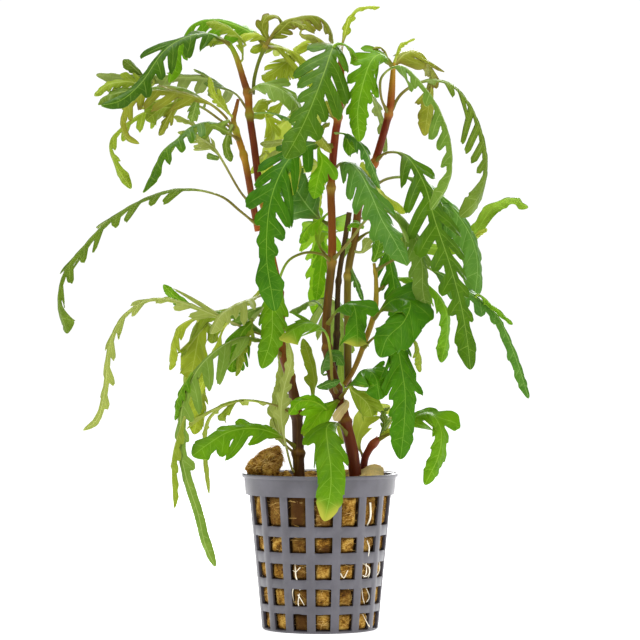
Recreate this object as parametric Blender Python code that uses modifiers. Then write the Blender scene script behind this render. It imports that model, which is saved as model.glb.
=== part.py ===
"""Potted hygrophila pinnatifida: a net pot, its rockwool, forked stems and deeply lobed leaves.

The origin is the centre of the pot's flat underside, +Z is up, and the plant's front faces -Y.
Every size below is in millimetres and is turned to metres where a mesh is made.
"""

import math

import bmesh
import bpy
from mathutils import Vector

MM = 0.001

# Net pot
POT_HEIGHT = 52.0
LIP_RADIUS = 26.0
LIP_HEIGHT = 1.3
COLLAR_TOP_RADIUS = 25.3
COLLAR_FOOT_RADIUS = 24.8
COLLAR_FOOT_Z = 45.0
BASKET_TOP_RADIUS = 23.7
BASKET_FOOT_RADIUS = 19.4
BASE_RADIUS = 18.4
CORNER_HEIGHT = 0.8
POT_WALL = 1.0
RIB_WIDTH = 2.85
RIB_COUNT = 16
WINDOW_ROWS = ((35.2, 45.0), (26.6, 31.8), (17.8, 23.0), (9.0, 14.8), (0.8, 6.5))
COLUMN_TURN = math.radians(3.0)

# Rockwool
WOOL_GAP = 0.5
WOOL_TOP_Z = 48.2
WOOL_SHOULDER = 3.0
WOOL_SIDES = 20
LUMP_CENTRE = (-19.6, -3.0, 55.0)
LUMP_RADII = (4.9, 5.4, 5.3)
LUMP_FOOT = 10.0
LUMP_LEAN = 0.16
SOCKET_GAP = 0.3
PLANTED_STEMS = ("stem_left_trunk", "stem_centre", "stem_low_shoot")
SOCKET_TOP_Z = 60.0
FOOT_BAND = 2.0

# The front view that the leaves are listed in, and how much further a round crown reaches in depth
EYE_DISTANCE = 1050.0
EYE_HEIGHT = 103.0
CROWN_DEPTH = 1.5

# Stems and leaves
STEM_STEP = 9.0
BLUNT_LOBES_FROM = 6.2
BLADE_BREADTH = 1.15
NODE_GAP = 0.35
PETIOLE_HALF_WIDTH = 0.8
MIDRIB_DEPTH = 0.9
TIP_DEPTH = 0.45
TIP_HALF_WIDTH = 0.45
TERMINAL_SHARE = 0.24
LONG_PETIOLE_FROM = 0.22
LOBE_LEAN = 0.7
LOBE_FOLD = 0.25
START_RUN = 4.0
ROUTE_STEP = 3.0

PLASTIC_GREY = (0.19, 0.19, 0.21)
WOOL_BROWN = (0.40, 0.22, 0.07)
STEM_BROWN = (0.20, 0.06, 0.02)
STEM_OLIVE = (0.22, 0.20, 0.05)
STEM_DARK = (0.05, 0.03, 0.01)
LEAF_GREEN = (0.06, 0.27, 0.02)
LEAF_DARK = (0.04, 0.16, 0.04)
LEAF_YELLOW = (0.28, 0.42, 0.03)
LEAF_PALE = (0.33, 0.46, 0.12)
LEAF_OLIVE = (0.25, 0.28, 0.04)

# A stem is its points along the middle, each with its radius: x, y, z, radius
STEMS = {
    "stem_left_trunk": (STEM_BROWN, (
        (-6.0, 0.5, 20.0, 1.9), (-7.0, 0.0, 51.0, 1.9), (-7.8, 0.0, 72.0, 1.8),
        (-10.0, -0.5, 83.5, 1.7), (-13.0, 0.0, 95.0, 1.7), (-13.3, 0.5, 109.0, 1.6),
        (-16.4, 0.5, 125.0, 1.6), (-18.0, 0.5, 131.0, 1.9))),
    "stem_left_inner": (STEM_BROWN, (
        (-18.2, 1.4, 133.6, 1.5), (-18.6, 2.0, 142.0, 1.5), (-20.2, 2.5, 147.0, 1.4),
        (-22.0, 2.5, 161.0, 1.4), (-23.6, 2.0, 171.8, 1.8), (-24.0, 2.0, 178.0, 1.5),
        (-25.3, 1.5, 182.5, 1.3), (-27.8, 0.5, 190.5, 1.1), (-30.3, 0.0, 195.5, 0.8))),
    "stem_left_outer": (STEM_BROWN, (
        (-20.6, -1.8, 132.6, 1.3), (-22.4, -2.6, 142.0, 1.3), (-23.6, -3.0, 149.0, 1.3),
        (-25.3, -3.0, 157.5, 1.3), (-27.8, -3.0, 165.5, 1.7), (-28.8, -3.2, 169.5, 1.0),
        (-28.0, -3.2, 173.0, 0.8), (-27.2, -3.2, 176.5, 0.6))),
    "stem_left_side": (STEM_OLIVE, (
        (-22.4, 4.3, 178.6, 0.7), (-22.0, 4.8, 184.0, 0.7), (-20.4, 5.0, 190.0, 0.7),
        (-18.2, 5.0, 195.0, 0.9))),
    "stem_centre": (STEM_BROWN, (
        (12.5, 0.5, 20.0, 2.0), (11.7, 0.0, 52.0, 2.0), (8.3, 0.0, 69.5, 1.9),
        (5.3, 0.0, 80.0, 1.9), (2.4, -0.5, 93.5, 1.7), (2.3, -0.5, 105.5, 1.6),
        (3.9, -0.5, 122.5, 2.1), (4.0, -0.5, 135.0, 1.5), (3.7, 0.0, 147.2, 1.8),
        (4.9, 0.5, 163.0, 1.5), (6.0, 0.5, 170.5, 2.0), (7.0, 0.5, 180.5, 1.4),
        (7.0, 0.5, 189.0, 1.1), (6.7, 0.5, 195.0, 0.8))),
    "stem_right": (STEM_BROWN, (
        (9.4, 1.9, 80.5, 1.3), (9.3, 5.0, 95.5, 1.4), (9.4, 5.6, 118.0, 1.4),
        (11.7, 5.2, 131.0, 1.5), (13.2, 4.5, 142.5, 1.7), (16.0, 4.0, 150.5, 1.5),
        (19.2, 3.5, 158.5, 1.6), (23.0, 3.0, 171.8, 2.0), (23.9, 2.5, 178.5, 1.4),
        (24.6, 2.0, 189.0, 0.8))),
    "stem_old": (STEM_DARK, (
        (4.6, 4.0, 83.0, 1.0), (5.6, 3.0, 98.0, 1.1), (6.2, 2.4, 116.0, 1.0),
        (8.4, 1.6, 130.0, 1.0), (9.8, 1.2, 139.0, 1.0))),
    "stem_thin": (STEM_OLIVE, (
        (8.2, -2.6, 81.5, 0.9), (11.3, -2.8, 86.5, 0.9), (14.7, -2.0, 95.0, 1.0),
        (18.3, -1.0, 106.0, 1.1), (18.7, -0.5, 116.0, 0.8), (18.0, -0.5, 122.0, 0.6))),
    "stem_low_shoot": (STEM_BROWN, (
        (15.0, 5.5, 34.0, 1.2), (14.6, 4.8, 53.0, 1.2), (16.4, 4.0, 59.5, 1.2),
        (19.8, 3.0, 63.5, 1.1))),
}

# A leaf: stem it grows from, points along its midrib as the front view shows them, each with its depth
# before the crown is rounded (the first gives the height at which it leaves the stem), greatest
# half-width, pairs of lobes, petiole's share of the length, direction its upper face looks in, colour
FRONT = (0.0, -1.0, 0.25)
FRONT_LEFT = (-0.35, -0.85, 0.4)
FRONT_RIGHT = (0.35, -0.85, 0.4)
UPWARD = (0.0, -0.45, 0.9)
BACK = (0.0, 0.95, 0.3)
BACK_LEFT = (-0.4, 0.75, 0.5)
BACK_RIGHT = (0.4, 0.75, 0.5)

LEAVES = {
    "leaf_left_crown_front": ("stem_left_inner", (
        (-30.0, 0.0, 195.0), (-37.0, -5.0, 198.6), (-46.0, -11.0, 196.8), (-52.7, -15.0, 192.0),
        (-59.3, -19.0, 182.5), (-66.0, -22.0, 176.5), (-73.0, -24.0, 174.5)),
        7.0, 5, 0.06, FRONT_LEFT, LEAF_DARK),
    "leaf_left_crown_back": ("stem_left_side", (
        (-18.2, 5.0, 195.0), (-23.7, 7.0, 198.5), (-29.7, 9.0, 201.0), (-36.0, 11.0, 202.0),
        (-42.5, 12.5, 200.5), (-46.8, 13.5, 193.0), (-50.3, 14.0, 181.5)),
        5.0, 5, 0.1, FRONT_LEFT, LEAF_GREEN),
    "leaf_left_upper_olive": ("stem_left_outer", (
        (-27.8, -3.0, 165.5), (-33.0, -5.5, 172.3), (-40.3, -8.0, 176.8), (-53.7, -12.0, 179.6),
        (-61.5, -15.0, 177.6), (-66.0, -16.5, 171.0), (-65.0, -17.5, 164.5), (-60.3, -18.0, 161.8)),
        5.5, 5, 0.25, FRONT_LEFT, LEAF_OLIVE),
    "leaf_left_upper_pale": ("stem_left_outer", (
        (-27.8, -3.0, 165.5), (-33.0, 2.0, 169.5), (-41.0, 6.0, 174.6), (-50.7, 9.0, 175.2),
        (-58.0, 12.0, 172.6), (-64.5, 14.0, 167.6), (-69.4, 15.0, 163.0), (-68.0, 16.0, 156.5),
        (-62.7, 17.0, 146.5)),
        4.2, 6, 0.3, FRONT_LEFT, LEAF_PALE),
    "leaf_left_upper_long": ("stem_left_inner", (
        (-23.6, 2.0, 171.8), (-27.5, 8.0, 178.0), (-33.0, 13.0, 183.4), (-42.3, 18.0, 186.5),
        (-54.0, 22.0, 186.5), (-66.0, 25.0, 184.0), (-75.3, 27.0, 181.5)),
        5.2, 6, 0.2, BACK_LEFT, LEAF_DARK),
    "leaf_left_middle_front": ("stem_left_outer", (
        (-27.0, -3.0, 163.0), (-31.0, -8.5, 165.6), (-38.0, -15.0, 168.0), (-45.7, -21.0, 165.2),
        (-51.0, -25.0, 160.5), (-55.5, -28.0, 153.5), (-60.7, -31.0, 144.5)),
        6.0, 5, 0.15, FRONT_LEFT, LEAF_DARK),
    "leaf_left_small_back": ("stem_left_outer", (
        (-22.4, -2.6, 141.0), (-26.7, 0.5, 146.0), (-33.7, 3.0, 158.0), (-37.5, 4.0, 161.8),
        (-43.0, 5.0, 165.4), (-47.5, 6.0, 165.6)),
        3.4, 3, 0.6, FRONT_LEFT, LEAF_PALE),
    "leaf_left_long_arch": ("stem_left_outer", (
        (-21.0, -2.2, 134.5), (-26.7, -5.0, 139.4), (-33.7, -7.5, 144.6), (-45.7, -11.0, 146.8),
        (-57.3, -14.0, 144.0), (-69.7, -17.0, 136.8), (-78.3, -19.0, 128.0), (-85.2, -20.0, 119.0),
        (-87.2, -20.5, 109.2), (-84.2, -21.0, 98.5)),
        4.4, 8, 0.26, FRONT_LEFT, LEAF_DARK),
    "leaf_left_low_arch": ("stem_left_trunk", (
        (-13.0, 0.0, 96.5), (-22.0, -3.0, 99.0), (-33.7, -7.0, 104.0), (-48.3, -12.0, 109.4),
        (-58.0, -15.0, 109.4), (-66.0, -18.0, 103.6), (-70.3, -20.0, 94.0), (-71.5, -21.0, 81.5),
        (-74.0, -22.0, 70.5), (-79.0, -23.0, 66.2)),
        3.6, 8, 0.2, FRONT_LEFT, LEAF_PALE),
    "leaf_left_low_yellow": ("stem_left_trunk", (
        (-13.3, 0.4, 101.5), (-22.0, 7.0, 105.0), (-33.0, 12.0, 105.6), (-40.5, 15.0, 100.6),
        (-43.6, 17.0, 91.0), (-44.3, 18.0, 80.0)),
        7.0, 4, 0.25, BACK_LEFT, LEAF_YELLOW),
    "leaf_left_low_long": ("stem_left_trunk", (
        (-11.8, -0.2, 90.5), (-19.0, -5.0, 96.0), (-26.3, -9.0, 97.2), (-35.0, -14.0, 92.5),
        (-41.7, -18.0, 85.0), (-45.8, -21.0, 74.5), (-46.6, -24.0, 61.5), (-44.6, -27.0, 50.5),
        (-40.7, -29.0, 38.5), (-38.4, -29.5, 28.5), (-34.9, -30.0, 20.6)),
        5.0, 9, 0.1, FRONT_LEFT, LEAF_GREEN),
    "leaf_left_base_front": ("stem_left_trunk", (
        (-7.3, 0.0, 60.0), (-14.0, -5.0, 64.6), (-21.7, -10.0, 66.8), (-30.0, -15.0, 65.8),
        (-37.0, -19.0, 61.8), (-42.5, -22.0, 57.6)),
        5.6, 4, 0.2, FRONT_LEFT, LEAF_GREEN),
    "leaf_left_base_back": ("stem_left_trunk", (
        (-7.8, 0.0, 71.0), (-15.0, 5.0, 74.6), (-24.0, 10.0, 76.4), (-31.5, 14.0, 75.0),
        (-37.4, 17.0, 69.5), (-38.6, 19.0, 60.0), (-37.0, 21.0, 45.0)),
        3.6, 6, 0.2, BACK_LEFT, LEAF_YELLOW),
    "leaf_left_inner_grey": ("stem_left_inner", (
        (-24.0, 2.0, 178.5), (-20.5, -2.0, 181.6), (-14.5, -4.5, 180.6), (-9.0, -5.5, 176.6),
        (-6.8, -5.5, 170.5)),
        4.6, 3, 0.1, UPWARD, LEAF_DARK),
    "leaf_left_side_right": ("stem_left_side", (
        (-18.2, 5.0, 194.5), (-12.5, 9.0, 194.0), (-6.5, 12.5, 191.0), (-2.5, 14.5, 185.5),
        (-1.0, 16.0, 180.0)),
        5.6, 4, 0.12, FRONT, LEAF_YELLOW),
    "leaf_left_side_top": ("stem_left_side", (
        (-18.2, 5.0, 195.2), (-13.5, 3.5, 200.6), (-7.5, 4.0, 203.0), (-0.5, 6.0, 203.2),
        (4.0, 8.0, 198.5), (4.5, 9.5, 191.0)),
        4.4, 4, 0.12, UPWARD, LEAF_OLIVE),
    "leaf_left_inner_low": ("stem_centre", (
        (3.9, -0.5, 122.5), (-1.5, -4.5, 125.6), (-7.0, -7.0, 124.6), (-13.0, -8.0, 118.5),
        (-15.5, -8.0, 108.5), (-16.2, -8.5, 97.5), (-19.4, -9.0, 86.8)),
        7.0, 4, 0.32, FRONT, LEAF_GREEN),
    "leaf_left_base_pale": ("stem_left_trunk", (
        (-7.2, 0.0, 57.5), (-12.5, 5.0, 63.0), (-14.5, 8.0, 74.0), (-12.0, 10.0, 86.0),
        (-11.3, 11.0, 96.0)),
        3.6, 3, 0.1, FRONT, LEAF_PALE),
    "leaf_left_low_grey": ("stem_left_trunk", (
        (-13.6, 0.5, 112.0), (-20.5, -3.0, 115.0), (-28.0, -10.0, 112.5), (-33.5, -16.0, 106.0),
        (-36.0, -20.0, 98.0)),
        4.6, 4, 0.2, FRONT_LEFT, LEAF_DARK),
    "leaf_centre_front": ("stem_centre", (
        (4.8, 0.4, 161.0), (-2.5, -6.0, 161.6), (-9.7, -12.0, 157.4), (-14.5, -16.0, 149.0),
        (-17.2, -18.0, 138.5), (-17.8, -19.0, 124.0), (-16.2, -19.0, 112.5), (-15.0, -18.0, 106.0)),
        8.6, 6, 0.1, FRONT, LEAF_GREEN),
    "leaf_centre_crown": ("stem_centre", (
        (6.7, 0.5, 194.5), (4.4, -6.0, 194.0), (1.4, -12.0, 185.5), (-2.4, -17.0, 175.5),
        (-6.4, -20.5, 166.5), (-11.6, -23.0, 157.0)),
        9.4, 5, 0.04, FRONT, LEAF_GREEN),
    "leaf_centre_crown_shoot": ("stem_centre", (
        (6.8, 0.5, 192.5), (8.6, 2.5, 199.5), (10.2, 4.0, 204.5), (14.0, 5.0, 207.4),
        (20.0, 5.5, 207.4)),
        1.8, 3, 0.2, FRONT_RIGHT, LEAF_YELLOW),
    "leaf_centre_right_front": ("stem_centre", (
        (4.0, 0.0, 153.0), (8.5, -6.0, 156.0), (13.0, -11.0, 152.5), (17.2, -15.0, 144.5),
        (20.6, -18.0, 136.5), (25.0, -21.0, 129.0), (28.9, -23.0, 121.5)),
        7.6, 5, 0.12, FRONT_RIGHT, LEAF_DARK),
    "leaf_centre_right_arch": ("stem_centre", (
        (3.9, -0.5, 122.5), (10.0, -5.0, 129.5), (17.0, -7.5, 138.0), (24.0, -8.0, 139.5),
        (30.5, -8.5, 133.0), (33.8, -9.0, 123.0), (34.4, -9.5, 112.0), (36.8, -10.0, 103.0)),
        6.6, 4, 0.4, FRONT_RIGHT, LEAF_GREEN),
    "leaf_rim_front": ("stem_centre", (
        (9.4, 0.0, 64.0), (6.0, -5.3, 68.4), (2.4, -10.0, 67.4), (2.6, -15.7, 61.0),
        (3.6, -19.2, 53.5), (3.4, -20.2, 45.5), (1.5, -19.8, 35.9)),
        6.4, 4, 0.2, FRONT, LEAF_GREEN),
    "leaf_base_yellow": ("stem_centre", (
        (7.0, 0.0, 75.0), (3.5, -3.0, 74.4), (-0.5, -4.5, 69.6), (-5.0, -6.0, 63.6)),
        3.2, 2, 0.2, FRONT, LEAF_GREEN),
    "leaf_base_bright": ("stem_centre", (
        (6.6, 0.0, 76.5), (10.5, -7.0, 82.0), (14.5, -11.0, 86.5), (18.4, -13.5, 84.0),
        (19.9, -15.0, 76.4)),
        5.2, 2, 0.35, UPWARD, LEAF_GREEN),
    "leaf_centre_broad": ("stem_centre", (
        (6.0, 0.0, 78.0), (4.0, -5.0, 83.5), (3.6, -8.0, 92.0), (1.6, -10.5, 99.5),
        (-4.5, -13.0, 101.8), (-13.5, -14.5, 96.5)),
        6.2, 3, 0.6, UPWARD, LEAF_GREEN),
    "leaf_centre_round": ("stem_centre", (
        (2.3, -0.5, 101.0), (6.5, -6.0, 107.0), (11.0, -9.0, 108.0), (12.3, -10.5, 101.0),
        (12.4, -11.0, 94.0)),
        6.0, 2, 0.3, FRONT_RIGHT, LEAF_GREEN),
    "leaf_centre_back_pale": ("stem_centre", (
        (3.8, 0.0, 134.0), (-2.0, 5.0, 138.6), (-7.5, 8.5, 146.0), (-10.5, 11.5, 153.0),
        (-13.0, 14.5, 155.0)),
        7.4, 3, 0.25, FRONT, LEAF_PALE),
    "leaf_centre_back_bright": ("stem_centre", (
        (3.7, 0.0, 147.2), (1.5, 8.0, 153.0), (-0.5, 15.0, 154.5), (-1.5, 20.5, 148.5),
        (-1.0, 23.5, 138.5)),
        4.6, 3, 0.15, BACK, LEAF_YELLOW),
    "leaf_centre_back_middle": ("stem_centre", (
        (3.9, -0.5, 122.5), (-0.5, 8.0, 128.5), (-4.0, 16.0, 130.0), (-6.8, 24.0, 124.0),
        (-8.0, 29.0, 113.0), (-8.5, 32.0, 101.0)),
        8.0, 5, 0.2, BACK, LEAF_GREEN),
    "leaf_centre_back_low": ("stem_centre", (
        (2.3, -0.5, 105.0), (3.0, 10.0, 110.0), (3.0, 19.0, 110.5), (4.5, 27.0, 104.0),
        (6.5, 33.0, 92.0), (8.0, 36.0, 78.0)),
        7.6, 5, 0.22, BACK, LEAF_DARK),
    "leaf_centre_back_upper_left": ("stem_centre", (
        (6.0, 0.5, 170.0), (1.0, 8.0, 172.0), (-6.0, 15.0, 172.5), (-12.5, 21.0, 168.5),
        (-17.0, 26.0, 160.0), (-19.0, 29.0, 150.0)),
        6.4, 5, 0.2, BACK_LEFT, LEAF_YELLOW),
    "leaf_centre_back_upper_right": ("stem_centre", (
        (6.0, 0.5, 170.5), (9.5, 8.0, 176.5), (14.0, 17.0, 180.0), (18.0, 25.0, 177.0),
        (21.0, 31.0, 168.0), (22.0, 34.0, 158.0)),
        6.2, 5, 0.26, BACK_RIGHT, LEAF_GREEN),
    "leaf_right_crown_front": ("stem_right", (
        (24.4, 2.0, 187.5), (21.0, -3.0, 191.6), (17.2, -6.0, 189.6), (14.4, -8.0, 182.0),
        (12.6, -9.5, 172.5), (13.2, -11.0, 162.5)),
        5.8, 5, 0.06, FRONT, LEAF_GREEN),
    "leaf_right_crown_olive": ("stem_right", (
        (24.5, 2.0, 188.0), (28.8, 6.5, 192.0), (34.0, 10.5, 192.0), (37.4, 13.5, 185.5),
        (36.4, 15.5, 175.5), (34.8, 16.5, 164.4)),
        6.2, 5, 0.06, FRONT_RIGHT, LEAF_OLIVE),
    "leaf_right_over_stem": ("stem_right", (
        (23.0, 3.0, 171.8), (20.4, -1.5, 177.5), (20.8, -5.5, 184.5), (27.5, -9.0, 187.8),
        (35.2, -12.5, 181.0), (39.5, -14.5, 171.0), (42.2, -16.0, 160.0), (42.0, -17.5, 149.5),
        (36.9, -18.5, 139.8)),
        5.2, 6, 0.26, FRONT_RIGHT, LEAF_DARK),
    "leaf_right_arch": ("stem_right", (
        (23.0, 3.0, 171.8), (27.5, 2.0, 178.8), (35.0, 1.5, 182.8), (43.5, 1.0, 181.8),
        (50.0, 0.5, 174.6), (54.2, 0.0, 163.5), (55.4, 0.0, 152.5), (52.5, -0.5, 143.5),
        (46.7, -1.0, 137.5)),
        5.6, 7, 0.2, FRONT_RIGHT, LEAF_YELLOW),
    "leaf_right_far_tip": ("stem_right", (
        (12.4, 4.8, 137.5), (19.5, 13.0, 135.5), (31.0, 19.5, 129.5), (42.0, 24.0, 127.0),
        (51.3, 26.0, 131.5), (57.0, 27.0, 140.0), (64.0, 28.0, 143.6), (69.4, 28.5, 140.4)),
        3.4, 5, 0.3, BACK_RIGHT, LEAF_GREEN),
    "leaf_right_long": ("stem_right", (
        (18.2, 3.8, 156.0), (22.5, -1.0, 159.0), (29.0, -5.5, 157.5), (34.7, -9.0, 148.5),
        (38.4, -11.5, 136.0), (43.0, -13.5, 122.5), (46.8, -15.0, 109.0), (49.0, -16.0, 97.0),
        (50.2, -17.0, 86.4)),
        7.4, 7, 0.14, FRONT_RIGHT, LEAF_DARK),
    "leaf_right_inner": ("stem_right", (
        (11.7, 5.2, 129.0), (17.0, 4.0, 132.5), (21.5, 3.2, 129.0), (23.8, 2.8, 120.0),
        (25.4, 2.2, 110.0), (27.0, 1.6, 101.5)),
        4.8, 4, 0.2, FRONT_RIGHT, LEAF_GREEN),
    "leaf_right_back_broad": ("stem_right", (
        (13.2, 4.5, 142.5), (22.0, 6.5, 150.0), (33.0, 8.5, 149.5), (43.0, 10.0, 141.5),
        (50.0, 11.5, 131.5), (52.5, 12.5, 121.5), (51.5, 13.0, 110.0)),
        7.4, 5, 0.3, FRONT_RIGHT, LEAF_DARK),
    "leaf_thin_curled": ("stem_thin", (
        (17.4, -1.3, 103.0), (24.0, -7.0, 109.5), (30.0, -12.0, 109.0), (28.0, -17.0, 102.5),
        (22.5, -19.0, 97.0), (20.2, -19.5, 90.5)),
        6.0, 3, 0.15, FRONT, LEAF_GREEN),
    "leaf_thin_hanging": ("stem_thin", (
        (14.0, -2.2, 93.5), (19.5, -7.0, 98.0), (25.0, -10.5, 95.5), (27.0, -13.0, 88.0),
        (28.4, -14.5, 78.0), (28.0, -16.0, 67.5), (26.8, -17.0, 56.5)),
        7.0, 5, 0.2, FRONT_RIGHT, LEAF_GREEN),
    "leaf_thin_back_pale": ("stem_thin", (
        (18.6, -0.6, 112.5), (26.0, 7.6, 117.0), (35.0, 11.0, 115.5), (41.5, 12.0, 107.5),
        (42.4, 14.0, 98.5), (40.4, 15.0, 88.8)),
        4.6, 4, 0.25, FRONT_RIGHT, LEAF_PALE),
    "leaf_thin_far_right": ("stem_thin", (
        (18.3, -0.5, 119.5), (27.0, -3.5, 123.5), (38.0, -4.5, 119.5), (49.0, -3.0, 112.6),
        (58.5, -2.5, 105.0), (64.5, -2.5, 92.5), (69.6, -2.5, 76.8)),
        4.8, 6, 0.3, FRONT_RIGHT, LEAF_GREEN),
    "leaf_shoot_right": ("stem_low_shoot", (
        (19.0, 3.2, 62.8), (25.0, -1.0, 66.0), (31.5, -4.5, 70.5), (37.0, -7.0, 71.6),
        (40.4, -9.0, 66.0), (39.4, -10.5, 57.5), (35.0, -12.0, 48.0)),
        5.4, 4, 0.25, FRONT_RIGHT, LEAF_GREEN),
    "leaf_base_right_yellow": ("stem_low_shoot", (
        (15.2, 4.4, 56.0), (12.5, 9.0, 63.0), (15.0, 12.0, 71.0), (19.5, 14.5, 75.0),
        (24.0, 17.0, 72.0)),
        4.0, 3, 0.2, BACK_RIGHT, LEAF_YELLOW),
}


def clear_scene():
    for old in list(bpy.data.objects):
        bpy.data.objects.remove(old, do_unlink=True)


def new_collection(name):
    found = bpy.data.collections.new(name)
    bpy.context.scene.collection.children.link(found)
    return found


def finish_material(name, colour, roughness):
    """A plain Principled finish; every part gets its own."""
    made = bpy.data.materials.new(name)
    made.use_nodes = True
    shader = made.node_tree.nodes["Principled BSDF"]
    shader.inputs["Base Color"].default_value = (*colour, 1.0)
    shader.inputs["Roughness"].default_value = roughness
    shader.inputs["Metallic"].default_value = 0.0
    return made


def add_object(name, data, group, colour=None, roughness=0.5):
    thing = bpy.data.objects.new(name, data)
    group.objects.link(thing)
    if colour is not None:
        data.materials.append(finish_material(name + "_finish", colour, roughness))
    return thing


def object_from_bmesh(name, bm, group, colour=None, roughness=0.5):
    mesh = bpy.data.meshes.new(name)
    bm.to_mesh(mesh)
    bm.free()
    return add_object(name, mesh, group, colour, roughness)


def rounded_path(points, step):
    """Points about a step apart on a smooth curve through the given points of any length."""
    ends = [
        [2 * a - b for a, b in zip(points[0], points[1])],
        [2 * a - b for a, b in zip(points[-1], points[-2])],
    ]
    full = [ends[0], *points, ends[1]]
    path = []
    for i in range(1, len(full) - 2):
        before, here, after, beyond = full[i - 1], full[i], full[i + 1], full[i + 2]
        parts = max(1, round(math.dist(here[:3], after[:3]) / step))
        for k in range(parts):
            t = k / parts
            path.append([
                0.5 * (2 * q + (r - p) * t + (2 * p - 5 * q + 4 * r - s) * t * t
                       + (3 * q - p - 3 * r + s) * t ** 3)
                for p, q, r, s in zip(before, here, after, beyond)
            ])
    path.append(list(points[-1]))
    return path


def pot_profile():
    """Radius and height up the pot's outer skin, from the edge of its base to its lip."""
    def basket_radius(z):
        share = (z - CORNER_HEIGHT) / (COLLAR_FOOT_Z - CORNER_HEIGHT)
        return BASKET_FOOT_RADIUS + (BASKET_TOP_RADIUS - BASKET_FOOT_RADIUS) * share

    profile = [(BASE_RADIUS, 0.0)]
    for low, high in reversed(WINDOW_ROWS):
        profile += [(basket_radius(low), low), (basket_radius(high), high)]
    lip_foot = POT_HEIGHT - LIP_HEIGHT
    profile += [
        (COLLAR_FOOT_RADIUS, COLLAR_FOOT_Z), (COLLAR_TOP_RADIUS, lip_foot),
        (LIP_RADIUS, lip_foot), (LIP_RADIUS, POT_HEIGHT),
    ]
    return profile


def net_pot(group):
    """The basket as one sheet wrapped round, with its windows left out, then given its wall."""
    profile = pot_profile()
    around = 2 * RIB_COUNT
    bm = bmesh.new()
    bmesh.ops.create_grid(bm, x_segments=around, y_segments=len(profile) - 1, size=1.0)
    cells = {}
    for vert in bm.verts:
        column = round((vert.co.x + 1) / 2 * around)
        row = round((vert.co.y + 1) / 2 * (len(profile) - 1))
        cells[vert] = (column, row)
    window_feet = {low for low, high in WINDOW_ROWS}
    openings = []
    for face in bm.faces:
        column = min(cells[v][0] for v in face.verts)
        row = min(cells[v][1] for v in face.verts)
        if column % 2 == 0 and profile[row][1] in window_feet:
            openings.append(face)
    for vert, (column, row) in cells.items():
        radius, height = profile[row]
        pitch = 2 * math.pi / RIB_COUNT
        half_rib = RIB_WIDTH / 2 / radius
        rib_middle = (column // 2 - 0.5) * pitch - math.pi / 2 + COLUMN_TURN
        angle = rib_middle + (half_rib if column % 2 == 0 else pitch - half_rib)
        vert.co = (radius * math.cos(angle) * MM, radius * math.sin(angle) * MM, height * MM)
    bmesh.ops.delete(bm, geom=openings, context="FACES_ONLY")
    bmesh.ops.remove_doubles(bm, verts=bm.verts, dist=1e-6)
    foot = [e for e in bm.edges if e.is_boundary and all(abs(v.co.z) < 1e-7 for v in e.verts)]
    bmesh.ops.holes_fill(bm, edges=foot, sides=around)
    bmesh.ops.recalc_face_normals(bm, faces=bm.faces)
    pot = object_from_bmesh("net_pot", bm, group, PLASTIC_GREY, 0.35)
    wall = pot.modifiers.new("wall", "SOLIDIFY")
    wall.thickness = POT_WALL * MM
    wall.offset = -1.0
    wall.use_even_offset = True
    return pot


def wool_rings():
    """Radius and height of the plug's rings, from the edge of its foot over its soft top."""
    foot_radius = BASKET_FOOT_RADIUS - POT_WALL - WOOL_GAP
    top_radius = BASKET_TOP_RADIUS - POT_WALL - WOOL_GAP
    return (
        (foot_radius, POT_WALL + SOCKET_GAP), (top_radius, WOOL_TOP_Z - WOOL_SHOULDER),
        (top_radius - 1.6, WOOL_TOP_Z - 0.8), (14.0, WOOL_TOP_Z), (6.0, WOOL_TOP_Z + 0.5),
    )


def wool_plug(group):
    """The plug's foot drawn up ring by ring, its top rings pushed unevenly up and down."""
    rings = wool_rings()
    bm = bmesh.new()
    bmesh.ops.create_circle(bm, cap_ends=True, segments=WOOL_SIDES, radius=rings[0][0] * MM)
    bmesh.ops.translate(bm, verts=bm.verts, vec=(0, 0, rings[0][1] * MM))
    edges = bm.edges[:]
    for number, (radius, height) in enumerate(rings[1:]):
        grown = bmesh.ops.extrude_edge_only(bm, edges=edges)["geom"]
        edges = [g for g in grown if isinstance(g, bmesh.types.BMEdge)]
        for vert in (g for g in grown if isinstance(g, bmesh.types.BMVert)):
            turn = math.atan2(vert.co.y, vert.co.x)
            uneven = 0.7 * math.sin(3 * turn + radius) + 0.5 * math.cos(7 * turn) if number else 0.0
            vert.co = [radius * math.cos(turn) * MM, radius * math.sin(turn) * MM, (height + uneven) * MM]
    bmesh.ops.holes_fill(bm, edges=edges, sides=WOOL_SIDES)
    bmesh.ops.recalc_face_normals(bm, faces=bm.faces)
    return object_from_bmesh("rockwool", bm, group, WOOL_BROWN, 0.95)


def wool_lump(cutters):
    """The lump of wool that stands up over the rim, leaning inwards below it."""
    bm = bmesh.new()
    bmesh.ops.create_icosphere(bm, subdivisions=2, radius=1.0)
    for vert in bm.verts:
        x, y, z = vert.co
        bulge = 1.0 + 0.05 * math.sin(4 * x + 3 * y) * math.cos(3 * z)
        reach = (LUMP_RADII[0], LUMP_RADII[1], LUMP_RADII[2] if z > 0 else LUMP_FOOT)
        vert.co = [(c + r * s * bulge) * MM for c, r, s in zip(LUMP_CENTRE, reach, (x, y, z))]
        vert.co.x += LUMP_LEAN * max(0.0, LUMP_CENTRE[2] * MM - vert.co.z)
    return object_from_bmesh("rockwool_lump", bm, cutters)


def rockwool(group, cutters):
    """The plug with its lump joined on, and a socket for each planted stem."""
    plug = wool_plug(group)
    join_or_cut(plug, wool_lump(cutters), "UNION")
    for name in PLANTED_STEMS:
        join_or_cut(plug, socket_cutter(name, cutters), "DIFFERENCE")
    return plug


def join_or_cut(target, other, operation):
    other.hide_render = True
    other.display_type = "WIRE"
    cut = target.modifiers.new(other.name, "BOOLEAN")
    cut.operation = operation
    cut.object = other
    cut.solver = "EXACT"


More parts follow.
